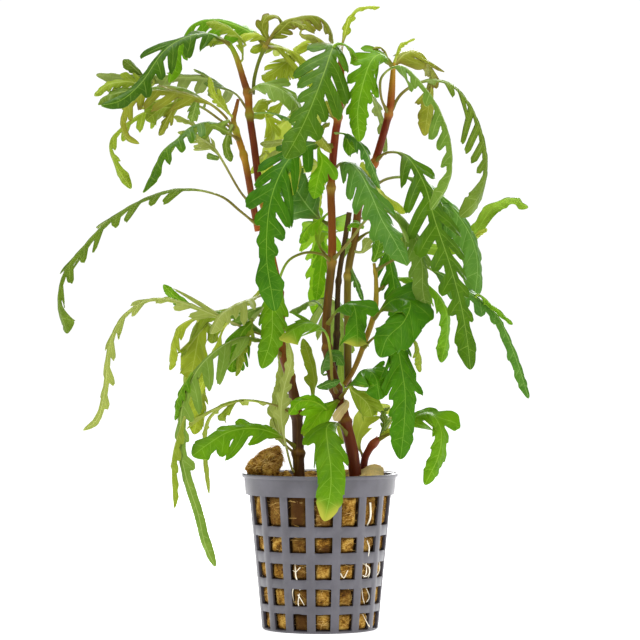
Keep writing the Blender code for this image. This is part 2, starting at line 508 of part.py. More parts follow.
def tube_curve(name, points, extra, group, colour=None):
    """A round stem as a curve; each point carries its own radius, and extra makes a socket's cutter."""
    curve = bpy.data.curves.new(name, "CURVE")
    curve.dimensions = "3D"
    curve.bevel_depth = MM
    curve.bevel_resolution = 1
    curve.use_fill_caps = True
    spline = curve.splines.new("POLY")
    spline.points.add(len(points) - 1)
    for point, (x, y, z, radius) in zip(spline.points, points):
        point.co = (x * MM, y * MM, z * MM, 1.0)
        point.radius = radius + extra
    return add_object(name, curve, group, colour)


def curve_to_mesh(tube, group):
    """The tube as a closed mesh with welded caps, in place of its curve."""
    depsgraph = bpy.context.evaluated_depsgraph_get()
    mesh = bpy.data.meshes.new_from_object(tube.evaluated_get(depsgraph))
    bm = bmesh.new()
    bm.from_mesh(mesh)
    bmesh.ops.remove_doubles(bm, verts=bm.verts, dist=1e-6)
    bmesh.ops.recalc_face_normals(bm, faces=bm.faces)
    bm.to_mesh(mesh)
    bm.free()
    solid = bpy.data.objects.new(tube.name + "_solid", mesh)
    group.objects.link(solid)
    solid.matrix_world = tube.matrix_world
    bpy.data.objects.remove(tube, do_unlink=True)
    return solid


def stem_path(name):
    return rounded_path(STEMS[name][1], STEM_STEP)


def socket_cutter(name, cutters):
    """The stem's planted foot, grown by the gap, as the tool that opens its socket in the wool."""
    planted = [p for p in stem_path(name) if p[2] < SOCKET_TOP_Z]
    tube = tube_curve(name + "_socket", planted, SOCKET_GAP * 1.2, cutters)
    bpy.context.view_layer.update()
    solid = curve_to_mesh(tube, cutters)
    bm = bmesh.new()
    bm.from_mesh(solid.data)
    lowest = min(v.co.z for v in bm.verts)
    for vert in bm.verts:
        if vert.co.z < lowest + FOOT_BAND * MM:
            vert.co.z -= SOCKET_GAP * MM
    bm.to_mesh(solid.data)
    bm.free()
    return solid


def leaf_outline(length, half_width, pairs, petiole_share):
    """Lines across the leaf from base to tip: place along the midrib and half-width at that place."""
    half_width *= BLADE_BREADTH
    blade_start = length * petiole_share
    terminal = min(TERMINAL_SHARE * length, 2.2 * half_width)
    pitch = (length - blade_start - terminal) / pairs
    lines = [(0.0, PETIOLE_HALF_WIDTH)]
    if petiole_share > LONG_PETIOLE_FROM:
        lines.append((blade_start * 0.5, PETIOLE_HALF_WIDTH * 0.9))
    lines.append((blade_start, PETIOLE_HALF_WIDTH))
    for i in range(pairs):
        share = (i + 0.5) / pairs
        reach = half_width * (0.55 + 0.45 * math.sin(math.pi * min(1.0, share * 1.25 + 0.12)))
        sinus = half_width * (0.22 + 0.10 * share)
        foot = blade_start + i * pitch
        if half_width >= BLUNT_LOBES_FROM * BLADE_BREADTH:
            lines.append((foot + 0.12 * pitch, sinus))
            lines.append((foot + 0.40 * pitch, reach))
            lines.append((foot + 0.72 * pitch, reach * 0.92))
        else:
            lines.append((foot + 0.1 * pitch, sinus))
            lines.append((foot + 0.6 * pitch, reach))
    end = length - terminal
    lines.append((end + 0.1 * terminal, half_width * 0.34))
    lines.append((end + 0.5 * terminal, half_width * 0.5))
    lines.append((length, TIP_HALF_WIDTH))
    return lines


def measure_path(path):
    lengths = [0.0]
    for here, after in zip(path, path[1:]):
        lengths.append(lengths[-1] + (after - here).length)
    return lengths


def point_at(path, lengths, along):
    """Point a given distance along the path."""
    last = len(path) - 2
    i = next((k for k in range(last + 1) if lengths[k + 1] >= along), last)
    share = (along - lengths[i]) / (lengths[i + 1] - lengths[i])
    return path[i].lerp(path[i + 1], share)


def frames_along(centres, facing):
    """Direction ahead, across and out of the upper face at each line; a bend turns that face outwards."""
    last = len(centres) - 1
    frames = []
    for i in range(last + 1):
        back, on = max(i - 1, 0), min(i + 1, last)
        ahead = (centres[on] - centres[back]).normalized()
        behind = centres[back] - centres[max(back - 1, 0)] if back else ahead
        beyond = centres[min(on + 1, last)] - centres[on] if on < last else ahead
        bend = beyond.normalized() - behind.normalized()
        across = ahead.cross(Vector(facing).normalized() - bend).normalized()
        frames.append((ahead, across, across.cross(ahead)))
    return frames


def in_space(point):
    """A leaf's point in the plant's own space, from its place in the front view and its listed depth."""
    x, depth, z = point
    depth *= CROWN_DEPTH
    nearness = 1 + depth / EYE_DISTANCE
    return (x * nearness, depth, EYE_HEIGHT + (z - EYE_HEIGHT) * nearness)


def leaf_route(stem, points):
    """The midrib's points in metres, its base drawn out of the stem to its surface."""
    trunk = stem_path(stem)
    height = points[0][2]
    above = next((k for k in range(1, len(trunk)) if trunk[k][2] >= height), len(trunk) - 1)
    low, high = Vector(trunk[above - 1][:3]), Vector(trunk[above][:3])
    foot = low.lerp(high, min(1.0, (height - low.z) / (high.z - low.z)))
    axis = (high - low).normalized()
    radius = max(trunk[above - 1][3], trunk[above][3])
    path = [Vector(p) for p in rounded_path([tuple(foot), *map(in_space, points[1:])], ROUTE_STEP)]
    lead = path[1] - path[0]
    outward = lead - axis * lead.dot(axis)
    slope = axis.dot(lead.normalized())
    clear = radius + NODE_GAP + PETIOLE_HALF_WIDTH * abs(slope)
    start = path[0] + outward.normalized() * clear
    kept = [p for p in path[1:] if (p - start).dot(outward) > 0 and (p - start).length > START_RUN]
    return [start * MM] + [p * MM for p in kept]


def leaf(name, group):
    """A closed lobed blade, thick along its midrib and thin at its edge, with its petiole."""
    stem, points, half_width, pairs, petiole_share, facing, colour = LEAVES[name]
    path = leaf_route(stem, points)
    lengths = measure_path(path)
    lines = leaf_outline(lengths[-1] / MM, half_width, pairs, petiole_share)
    centres = [point_at(path, lengths, min(along * MM, lengths[-1])) for along, width in lines]
    frames = frames_along(centres, facing)
    bm = bmesh.new()
    line_of, side_of, under_of = (bm.verts.layers.int.new(key) for key in ("line", "side", "under"))
    bmesh.ops.create_grid(bm, x_segments=len(lines) - 1, y_segments=2, size=1.0)
    for vert in bm.verts:
        vert[line_of] = round((vert.co.x + 1) / 2 * (len(lines) - 1))
        vert[side_of] = round(vert.co.y)
    lower = bmesh.ops.duplicate(bm, geom=bm.verts[:] + bm.edges[:] + bm.faces[:])["geom"]
    for vert in (g for g in lower if isinstance(g, bmesh.types.BMVert)):
        vert[under_of] = 1
    for vert in bm.verts:
        line, side, under = vert[line_of], vert[side_of], vert[under_of]
        width = lines[line][1]
        ahead, across, normal = frames[line]
        blade = width > PETIOLE_HALF_WIDTH
        spot = centres[line] + across * (side * width * MM)
        if side and blade:
            spot += (ahead * LOBE_LEAN - normal * LOBE_FOLD) * (width * MM)
        elif under and not side:
            spot -= normal * (MIDRIB_DEPTH if line < len(lines) - 1 else TIP_DEPTH) * MM
        vert.co = spot
    bmesh.ops.remove_doubles(bm, verts=bm.verts, dist=1e-7)
    bmesh.ops.holes_fill(bm, edges=[e for e in bm.edges if e.is_boundary], sides=4)
    bmesh.ops.recalc_face_normals(bm, faces=bm.faces)
    return object_from_bmesh(name, bm, group, colour, 0.45)


def main():
    clear_scene()
    plant = new_collection("potted_hygrophila_pinnatifida")
    cutters = new_collection("cutters")
    net_pot(plant)
    rockwool(plant, cutters)
    for name, (colour, points) in STEMS.items():
        tube_curve(name, stem_path(name), 0.0, plant, colour)
    for name in LEAVES:
        leaf(name, plant)


main()
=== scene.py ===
"""Looks of the potted hygrophila pinnatifida: net pot, rockwool, roots, forked stems and lobed leaves.

Sizes and places are in millimetres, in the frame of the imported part: the origin is the centre of the
pot's flat underside, +Z is up and the plant's front faces -Y. Meshes are turned to metres as they are made.
"""

import bisect
import logging
import math
import random
from collections.abc import Callable, Sequence
from dataclasses import dataclass, field, replace
from enum import Enum

import bmesh
import bpy
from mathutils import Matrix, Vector, noise


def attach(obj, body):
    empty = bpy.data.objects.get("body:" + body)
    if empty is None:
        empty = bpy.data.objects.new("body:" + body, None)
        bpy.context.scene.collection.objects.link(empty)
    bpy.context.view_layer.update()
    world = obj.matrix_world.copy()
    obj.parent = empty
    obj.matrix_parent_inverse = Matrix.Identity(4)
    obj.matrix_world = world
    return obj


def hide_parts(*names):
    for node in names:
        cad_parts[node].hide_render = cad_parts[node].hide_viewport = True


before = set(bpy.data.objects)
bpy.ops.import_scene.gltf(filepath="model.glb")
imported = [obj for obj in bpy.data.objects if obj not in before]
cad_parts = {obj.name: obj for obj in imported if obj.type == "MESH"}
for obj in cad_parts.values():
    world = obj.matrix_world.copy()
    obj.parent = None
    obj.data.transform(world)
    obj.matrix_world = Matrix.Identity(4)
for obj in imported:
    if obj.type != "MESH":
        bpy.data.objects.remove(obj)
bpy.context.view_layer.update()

LOG = logging.getLogger("hygrophila")

MM = 0.001
BODY = "root"

# The front view that the leaves are listed in, and how much further a round crown reaches in depth
EYE_DISTANCE = 1050.0
EYE_HEIGHT = 103.0
CROWN_DEPTH = 1.5
# A distance from a vein, in millimetres, at which nothing of it shows
NO_VEIN = 9.0

Point = tuple[float, ...]
Stops = Sequence[tuple[float, str]]
Socket = bpy.types.NodeSocket
Material = bpy.types.Material
Piece = bpy.types.Object
Mesh = bmesh.types.BMesh
Feed = Socket | float | str | Point


def linear(code: str) -> tuple[float, float, float, float]:
    """Turns an sRGB hex colour to the linear values that a shader takes.

    Args:
        code: The colour as #RRGGBB.

    Returns:
        Linear red, green and blue, with an alpha of 1.
    """
    channels = [int(code[i:i + 2], 16) / 255 for i in (1, 3, 5)]
    light = [c / 12.92 if c <= 0.04045 else ((c + 0.055) / 1.055) ** 2.4 for c in channels]
    return (light[0], light[1], light[2], 1.0)


def feed_node(node: bpy.types.Node, inputs: dict[int | str, Feed]) -> None:
    """Links or sets a node's inputs, by name or number, where a text is a hex colour."""
    for name, feed in inputs.items():
        if isinstance(feed, Socket):
            node.id_data.links.new(feed, node.inputs[name])
        else:
            node.inputs[name].default_value = linear(feed) if isinstance(feed, str) else feed


def add_node(tree: bpy.types.NodeTree, kind: str, inputs: dict[int | str, Feed], stops: Stops = (),
             **settings: object) -> bpy.types.Node:
    """Adds one node to a material with its settings and links.

    Args:
        tree: The node tree that the node joins.
        kind: The node's type name, without the words that all of them start with.
        inputs: What feeds each input: a value, a hex colour or another node's socket.
        stops: Places and hex colours along a Color Ramp.
        settings: The node's own settings.

    Returns:
        The new node.
    """
    node = tree.nodes.new("ShaderNode" + kind)
    for name, value in settings.items():
        setattr(node, name, value)
    feed_node(node, inputs)
    for number, (place, code) in enumerate(stops):
        ramp = node.color_ramp.elements
        # A new ramp has two stops already
        stop = ramp[number] if number < 2 else ramp.new(place)
        stop.position = place
        stop.color = linear(code)
    return node


def smooth_step(value: float, low: float, high: float) -> float:
    """Eases from 0 at low to 1 at high."""
    share = min(1.0, max(0.0, (value - low) / (high - low)))
    return share * share * (3 - 2 * share)


def bell(value: float, width: float) -> float:
    """A smooth bump of height 1 about zero, about twice the width across."""
    return math.exp(-(value / width) ** 2)


def polar(radius: float, angle: float, z: float = 0.0) -> Vector:
    """A place at a radius and an angle round the pot's axis."""
    return Vector((radius * math.cos(angle), radius * math.sin(angle), z))


def grid_index(value: float, steps: int) -> int:
    """Which step of a grid from -1 to 1 a coordinate is on."""
    return round((value + 1) / 2 * steps)


def rounded_path(points: Sequence[Sequence[float]], step: float) -> list[list[float]]:
    """Rounds a few chosen points to a smooth curve through all of them.

    Args:
        points: The chosen points, each of any number of values.
        step: About how far apart the curve's own points lie.

    Returns:
        The curve's points, with as many values each as the chosen ones.
    """
    first = [2 * a - b for a, b in zip(points[0], points[1])]
    last = [2 * a - b for a, b in zip(points[-1], points[-2])]
    full = [first, *points, last]
    path = []
    for i in range(1, len(full) - 2):
        before, here, after, beyond = full[i - 1], full[i], full[i + 1], full[i + 2]
        parts = max(1, round(math.dist(here[:3], after[:3]) / step))
        for k in range(parts):
            t = k / parts
            path.append([
                0.5 * (2 * q + (r - p) * t + (2 * p - 5 * q + 4 * r - s) * t * t
                       + (3 * q - p - 3 * r + s) * t ** 3)
                for p, q, r, s in zip(before, here, after, beyond)
            ])
    path.append(list(points[-1]))
    return path


@dataclass
class Route:
    """A smooth line through space that is read at any length along it.

    Attributes:
        points: Its points in millimetres, each with a radius as its fourth value where it has one.
    """

    points: Sequence[Sequence[float]]
    lengths: list[float] = field(init=False)

    def __post_init__(self) -> None:
        """Measures the line."""
        self.lengths = [0.0]
        for here, after in zip(self.points, self.points[1:]):
            self.lengths.append(self.lengths[-1] + math.dist(here[:3], after[:3]))

    @property
    def length(self) -> float:
        """The line's whole length."""
        return self.lengths[-1]

    def values(self, along: float) -> list[float]:
        """Every value of the line at a length along it, carried on straight past either end."""
        i = min(max(bisect.bisect_right(self.lengths, along) - 1, 0), len(self.points) - 2)
        share = (along - self.lengths[i]) / (self.lengths[i + 1] - self.lengths[i])
        return [a + (b - a) * share for a, b in zip(self.points[i], self.points[i + 1])]

    def at(self, along: float) -> Vector:
        """The place at a length along the line."""
        return Vector(self.values(along)[:3])

    def ahead(self, along: float, reach: float = 1.5) -> Vector:
        """The direction of the line at a length along it."""
        return (self.at(along + reach) - self.at(along - reach)).normalized()


def wrap_tube(bm: Mesh, route: Route, stations: Sequence[float], sides: int,
              radius: Callable[[float, float], float],
              note: Callable[[bmesh.types.BMVert, float, float], None] | None = None) -> None:
    """Wraps a grid round a route as a closed tube and adds it to a mesh.

    Args:
        bm: The mesh that the tube joins.
        route: The tube's middle line.
        stations: The lengths along the route at which the tube has a ring.
        sides: How many sides it has round.
        radius: Gives the radius from a length along the route and an angle round it.
        note: Stores values on a vertex from its length along the route and its angle.
    """
    made = bmesh.ops.create_grid(bm, x_segments=sides, y_segments=len(stations) - 1, size=1.0)["verts"]
    across = Vector((1, 0, 0)) if abs(route.ahead(0.0).x) < 0.8 else Vector((0, 1, 0))
    rings = []
    for along in stations:
        ahead = route.ahead(along, 0.6)
        across = (across - ahead * across.dot(ahead)).normalized()
        rings.append((route.at(along), across, ahead.cross(across)))
    for vert in made:
        turn = grid_index(vert.co.x, sides) % sides * 2 * math.pi / sides
        ring = grid_index(vert.co.y, len(stations) - 1)
        centre, side, up = rings[ring]
        reach = radius(stations[ring], turn)
        vert.co = (centre + (side * math.cos(turn) + up * math.sin(turn)) * reach) * MM
        if note:
            note(vert, stations[ring], turn)


def close_tubes(bm: Mesh) -> None:
    """Welds every tube's seam, fills its ends and turns its faces outwards."""
    bmesh.ops.remove_doubles(bm, verts=bm.verts, dist=1e-7)
    bmesh.ops.holes_fill(bm, edges=[e for e in bm.edges if e.is_boundary], sides=0)
    bmesh.ops.recalc_face_normals(bm, faces=bm.faces)


def show(name: str, data: bpy.types.ID) -> Piece:
    """Puts a new object with its data in the scene."""
    shown = bpy.data.objects.new(name, data)
    bpy.context.scene.collection.objects.link(shown)
    return shown


def finish_piece(name: str, bm: Mesh, material: Material,
                 nodes: Sequence[str] = (), sharp: float = 50.0) -> Piece:
    """Makes a piece of a mesh, dresses it and tells the frame what it is.

    Args:
        name: The piece's name.
        bm: Its mesh, in metres, which is freed.
        material: Its finish.
        nodes: The frame's own nodes that it stands for.
        sharp: The angle in degrees past which an edge is shaded sharp.

    Returns:
        The piece's object.
    """
    mesh = bpy.data.meshes.new(name)
    bm.to_mesh(mesh)
    bm.free()
    mesh.shade_smooth()
    mesh.set_sharp_from_angle(angle=math.radians(sharp))
    mesh.materials.append(material)
    piece = show(name, mesh)
    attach(piece, BODY)
    if nodes:
        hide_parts(*nodes)
    LOG.info("%s: %d faces", name, len(mesh.polygons))
    return piece


@dataclass
class Recipe:
    """A new material, with a short way to add each kind of node that the finishes share."""

    name: str

    def __post_init__(self) -> None:
        """Makes the material and finds its shader and the coordinates that its patterns follow."""
        self.material = bpy.data.materials.new(self.name)
        self.material.use_nodes = True
        self.tree = self.material.node_tree
        self.shader = self.tree.nodes["Principled BSDF"]
        self.place = self.add("TexCoord", {}).outputs["Object"]

    def add(self, kind: str, inputs: dict[int | str, Feed], **settings: object) -> bpy.types.Node:
        """Adds a node to this material."""
        return add_node(self.tree, kind, inputs, **settings)

    def stretched(self, scale: Point) -> Socket:
        """The coordinates scaled by axis, so that a pattern is drawn out where the scale is small."""
        return self.add("Mapping", {"Vector": self.place, "Scale": scale}).outputs["Vector"]

    def noise(self, width: float, vector: Socket | None = None, **inputs: float) -> Socket:
        """Noise in lumps as wide as this many millimetres."""
        inputs = {"Vector": vector or self.place, "Scale": 1 / (width * MM), **inputs}
        return self.add("TexNoise", inputs).outputs["Fac"]

    def stored(self, name: str) -> Sequence[Socket]:
        """The three values kept on the mesh under a name."""
        vector = self.add("Attribute", {}, attribute_name=name).outputs["Vector"]
        return self.add("SeparateXYZ", {"Vector": vector}).outputs

    def ranged(self, value: Feed, first: Sequence[float], then: Sequence[float] = (0.0, 1.0)) -> Socket:
        """Takes a value from its first range to another one and clamps it there."""
        names = ("From Min", "From Max", "To Min", "To Max")
        return self.add("MapRange", {"Value": value, **dict(zip(names, (*first, *then)))}).outputs["Result"]

    def reckon(self, operation: str, *terms: Feed, **settings: bool) -> Socket:
        """One step of arithmetic on values and sockets."""
        return self.add("Math", dict(enumerate(terms)), operation=operation, **settings).outputs["Value"]

    def mix(self, share: Feed, under: Feed, over: Feed, **settings: str) -> Socket:
        """Lays one colour over another by a share."""
        return self.add("Mix", {0: share, 6: under, 7: over}, data_type="RGBA", **settings).outputs[2]

    def ramp(self, value: Socket, *stops: tuple[float, str]) -> Socket:
        """A colour from hex stops along a value."""
        return add_node(self.tree, "ValToRGB", {"Fac": value}, stops).outputs["Color"]

    def bump(self, height: Socket, strength: float, depth: float) -> Socket:
        """A relief of a depth in millimetres."""
        inputs = {"Height": height, "Strength": strength, "Distance": depth * MM}
        return self.add("Bump", inputs).outputs["Normal"]

    def dress(self, inputs: dict[str, Feed]) -> Material:
        """Feeds the shader and hands over the material."""
        feed_node(self.shader, inputs)
        return self.material


# Finishes


@dataclass(frozen=True)
class PolypropyleneFinish:
    """Polypropylene, injection moulded: a soft satin grey with faint flow marks and a fine matt grain."""

    name: str = "polypropylene_moulded"
    shade: str = "#45434A"
    flow: str = "#54525A"
    roughness: float = 0.38
    grain: float = 0.35
    flow_width: float = 7.0
    refraction: float = 1.49

    def make(self) -> Material:
        """Makes the material."""
        recipe = Recipe(self.name)
        # Flow marks run up the wall in bands as wide as the gate feeds them
        flow = recipe.noise(self.flow_width, Detail=4.0)
        # The mould's matt grain is about a third of a millimetre, and scatters the highlight
        grain = recipe.noise(self.grain, Detail=2.0)
        return recipe.dress({
            "Base Color": recipe.ramp(flow, (0.35, self.shade), (0.7, self.flow)),
            "Roughness": recipe.ranged(grain, (0.0, 1.0), (self.roughness - 0.07, self.roughness + 0.12)),
            "Normal": recipe.bump(grain, 0.25, 0.05), "IOR": self.refraction})


@dataclass(frozen=True)
class RockwoolFinish:
    """Spun rock wool, soaked and browned by roots: matt golden brown mats, with painted shade in the hollows
    between.
    """

    name: str = "rockwool_spun"
    # Painted shade, for the hollows between the mats and for the wool behind the ribs and rings
    painted_shade: str = "#2A1806"
    soaked: str = "#432910"
    body: str = "#845B1C"
    light: str = "#C6A04E"
    dry: str = "#E0CE94"
    mat_width: float = 3.2
    fibre_width: float = 0.28

    def make(self) -> Material:
        """Makes the material."""
        recipe = Recipe(self.name)
        mats = recipe.noise(self.mat_width, Detail=5.0, Roughness=0.62)
        # Fibres lie mostly flat, so the pattern is stretched along the ground
        flat = recipe.stretched((0.35, 0.35, 1.0))
        fibres = recipe.noise(self.fibre_width, flat, Detail=3.0, Distortion=1.2)
        both = recipe.reckon("MULTIPLY_ADD", fibres, 0.65, mats)
        # The lowest hollows between the mats are painted dark as shade
        colour = recipe.ramp(both, (0.62, self.painted_shade), (0.98, self.light), (0.8, self.body))
        # Painted shade behind the ribs and rings comes first, then soaking and drying
        shadow, wet, dry = recipe.stored("wet")
        for share, over in ((wet, self.soaked), (shadow, self.painted_shade), (dry, self.dry)):
            colour = recipe.mix(share, colour, over)
        return recipe.dress({"Base Color": colour, "Normal": recipe.bump(both, 0.9, 0.4), "Roughness": 0.95,
                             "Specular IOR Level": 0.1})


@dataclass(frozen=True)
class StrandFinish:
    """Fine strands: dry wool fibres, or living roots, which are waxy."""

    name: str
    shade: str
    tip: str
    roughness: float
    patch_width: float = 4.0

    def make(self) -> Material:
        """Makes the material."""
        recipe = Recipe(self.name)
        tone = recipe.ramp(recipe.noise(self.patch_width), (0.38, self.shade), (0.62, self.tip))
        return recipe.dress({"Base Color": tone, "Roughness": self.roughness})


@dataclass(frozen=True)
class StemFinish:
    """Living stem: smooth satin skin, darker and corky low down, redder and then green near the top.

    Attributes:
        rising: Hex colours up the stem, at heights in millimetres.
        joint: Colour of the swollen joints.
        streak: Colour of the long streaks between the ridges.
        plant_height: The height that the colours' heights are a share of.
        streak_width: How wide the streaks are.
        roughness: Of the skin.
        slot: The record's slot of this stem; not used.
    """

    name: str
    rising: Stops
    joint: str
    streak: str
    plant_height: float = 209.0
    streak_width: float = 0.9
    roughness: float = 0.42
    slot: str = "stem_brown"

    def make(self) -> Material:
        """Makes the material."""
        recipe = Recipe(self.name)
        height = recipe.add("SeparateXYZ", {"Vector": recipe.place}).outputs["Z"]
        share = recipe.reckon("DIVIDE", height, self.plant_height * MM)
        colour = recipe.ramp(share, *((z / self.plant_height, code) for z, code in self.rising))
        # Streaks are drawn out along the stem, a tenth as fast as they are across it
        streaks = recipe.noise(self.streak_width, recipe.stretched((1.0, 1.0, 0.1)), Detail=4.0)
        colour = recipe.mix(recipe.ranged(streaks, (0.52, 0.75), (0.0, 0.55)), colour, self.streak)
        colour = recipe.mix(recipe.stored("joint")[0], colour, self.joint)
        return recipe.dress({"Base Color": colour, "Normal": recipe.bump(streaks, 0.4, 0.12),
                             "Roughness": self.roughness, "Specular IOR Level": 0.15})


@dataclass(frozen=True)
class LeafFinish:
    """Living leaf: a thin satin blade that lets light through, with pale veins and a paler underside.

    Attributes:
        slot: The record's slot of this leaf; not used.
        upper: Upper side in full colour.
        deep: Upper side where it is darker.
        under: Underside.
        vein: Midrib and veins.
        glow: Light that comes through the blade.
        margin: Edge and speckles of a young blade.
        margin_share: How far the margin's colour shows.
        roughness: Of the upper side.
        serration: Depth of the edge's fine teeth, as a share of a lobe's reach.
        glow_share: How much of the light comes through the blade.
        aged: An old blade's tip.
        flush: The petiole.
    """

    name: str
    slot: str
    upper: str
    deep: str
    under: str
    vein: str
    glow: str
    margin: str = "#6F6A2A"
    margin_share: float = 0.0
    roughness: float = 0.42
    serration: float = 0.03
    glow_share: float = 0.36
    aged: str = "#C9C24A"
    flush: str = "#7C6426"

    def make(self) -> Material:
        """Makes the material, whose patterns follow the blade's own measures kept on the mesh."""
        recipe = Recipe(self.name)
        _, to_edge, underside = recipe.stored("spot")
        age, flush, shade = recipe.stored("tint")
        # Cloudy patches some six millimetres wide, and cells between the finest veins at about a millimetre
        cloud = recipe.noise(6.0, Detail=3.0)
        cells = recipe.add("TexVoronoi", {"Vector": recipe.place, "Scale": 1 / (0.9 * MM),
                                          "Randomness": 0.9}).outputs["Distance"]
        shaded = recipe.ranged(cloud, (0.35, 0.68))
        toned = recipe.reckon("MULTIPLY_ADD", shaded, 0.45, shade, use_clamp=True)
        veins = self.veins(recipe, to_edge, cloud)
        # Young margins are tinged and speckled, more in some clouds than in others
        rim = recipe.reckon("MULTIPLY", recipe.ranged(to_edge, (0.66, 1.0)), shaded)
        rim = recipe.reckon("MULTIPLY", rim, self.margin_share)
        colour = recipe.mix(toned, self.upper, self.deep)
        for share, over in ((underside, self.under), (veins, self.vein), (rim, self.margin), (age, self.aged),
                            (flush, self.flush)):
            colour = recipe.mix(share, colour, over)
        raised = recipe.reckon("MULTIPLY_ADD", veins, -0.8, recipe.reckon("MULTIPLY", cells, 0.3))
        lit = recipe.mix(0.5, colour, self.glow, blend_type="MULTIPLY")
        through = recipe.add("BsdfTranslucent", {"Color": lit}).outputs["BSDF"]
        both = recipe.add("MixShader", {0: self.glow_share, 1: recipe.shader.outputs["BSDF"], 2: through})
        recipe.tree.links.new(both.outputs["Shader"], recipe.tree.nodes["Material Output"].inputs["Surface"])
        return recipe.dress({
            "Base Color": colour, "Normal": recipe.bump(raised, 0.35, 0.12), "Specular IOR Level": 0.14,
            "Roughness": recipe.ranged(cells, (0.0, 1.0), (self.roughness - 0.06, self.roughness + 0.18))})

    def veins(self, recipe: Recipe, to_edge: Socket, cloud: Socket) -> Socket:
        """The midrib, the lobes' veins and the fine side veins off them.

        Args:
            recipe: The material that they join.
            to_edge: Share of the way to the blade's edge.
            cloud: Noise that bends the side veins.

        Returns:
            How far a vein shows.
        """
        from_midrib, from_lobe, outward = recipe.stored("vein")
        midrib = recipe.ranged(from_midrib, (0.1, 0.32), (0.62, 0.0))
        reach = recipe.reckon("ABSOLUTE", from_lobe)
        inner = recipe.ranged(to_edge, (0.72, 0.93), (1.0, 0.0))
        lobe = recipe.reckon("MULTIPLY", recipe.ranged(reach, (0.04, 0.2), (0.42, 0.0)), inner)
        slant = recipe.reckon("MULTIPLY_ADD", reach, 0.85, outward)
        bent = recipe.reckon("MULTIPLY_ADD", cloud, 1.6, slant)
        wave = recipe.reckon("PINGPONG", bent, 0.95)
        side = recipe.reckon("MULTIPLY", recipe.ranged(wave, (0.03, 0.16), (0.16, 0.0)), inner)
        return recipe.reckon("MAXIMUM", recipe.reckon("MAXIMUM", midrib, lobe), side)


class FinishSet(Enum):
    """A set of finishes that a piece chooses from."""

    def material(self) -> Material:
        """This finish's material, made when it is first asked for."""
        return bpy.data.materials.get(self.value.name) or self.value.make()


class Foliage(FinishSet):
    """The finishes that the leaves have."""

    GREEN = LeafFinish("leaf_mature_green", "leaf_green", "#6E9E06", "#457804", "#8CAC2C", "#A8CC48",
        "#BCD814", serration=0.015)
    DEEP = LeafFinish("leaf_deep_saturated_green", "leaf_green", "#508A04", "#2E6402", "#7C9A28", "#93BE3E",
        "#9CC80E", serration=0.015)
    DARK = LeafFinish("leaf_deep_green", "leaf_dark", "#547E0C", "#305606", "#809834", "#9EBE4A", "#A4C41A",
        roughness=0.36, serration=0.015)
    GLAUCOUS = LeafFinish("leaf_glaucous_green", "leaf_dark", "#62902E", "#3C7020", "#86A84C", "#A6C86C",
        "#A4CA34", roughness=0.36, serration=0.015)
    SAGE = LeafFinish("leaf_sage_green", "leaf_dark", "#829E3A", "#5E8426", "#9CB05C", "#BACC74", "#BCD44A",
        serration=0.015)
    # Its bright colours are partly the young leaves' own yellow and partly painted back light
    YELLOW = LeafFinish("leaf_backlit_yellow_green", "leaf_yellow", "#B2BE3A", "#92A628", "#BAC452",
        "#D0DA6C", "#E0E448", glow_share=0.45)
    PALE = LeafFinish("leaf_pale_underside", "leaf_pale", "#A8B25A", "#8A983E", "#B2BC6E", "#CCD488",
        "#DCE264")
    OLIVE = LeafFinish("leaf_young_olive", "leaf_olive", "#969C2A", "#6E7C1C", "#9CA248", "#BCC05E",
        "#D4D840", margin="#74502E", margin_share=0.7)
    LIME = LeafFinish("leaf_young_lime", "leaf_pale", "#9CAE34", "#7C9420", "#A8B44C", "#C4CE6C", "#D8E03C",
        glow_share=0.45)
    MOSS = LeafFinish("leaf_old_moss_green", "leaf_dark", "#6E8820", "#4A6616", "#88984A", "#A6B862",
        "#B0C034")
    # Its bright colours are painted back light, a lit copy of the green finish
    BACKLIT = LeafFinish("leaf_backlit_green", "leaf_green", "#90C010", "#66A008", "#A0C02A", "#C0DC48",
        "#DCF418", glow_share=0.5)
    HUSK = LeafFinish("leaf_dried_husk", "leaf_yellow", "#D8C890", "#BCA468", "#D8CC9C", "#E0D8A8",
        "#E8DCA0", roughness=0.7)


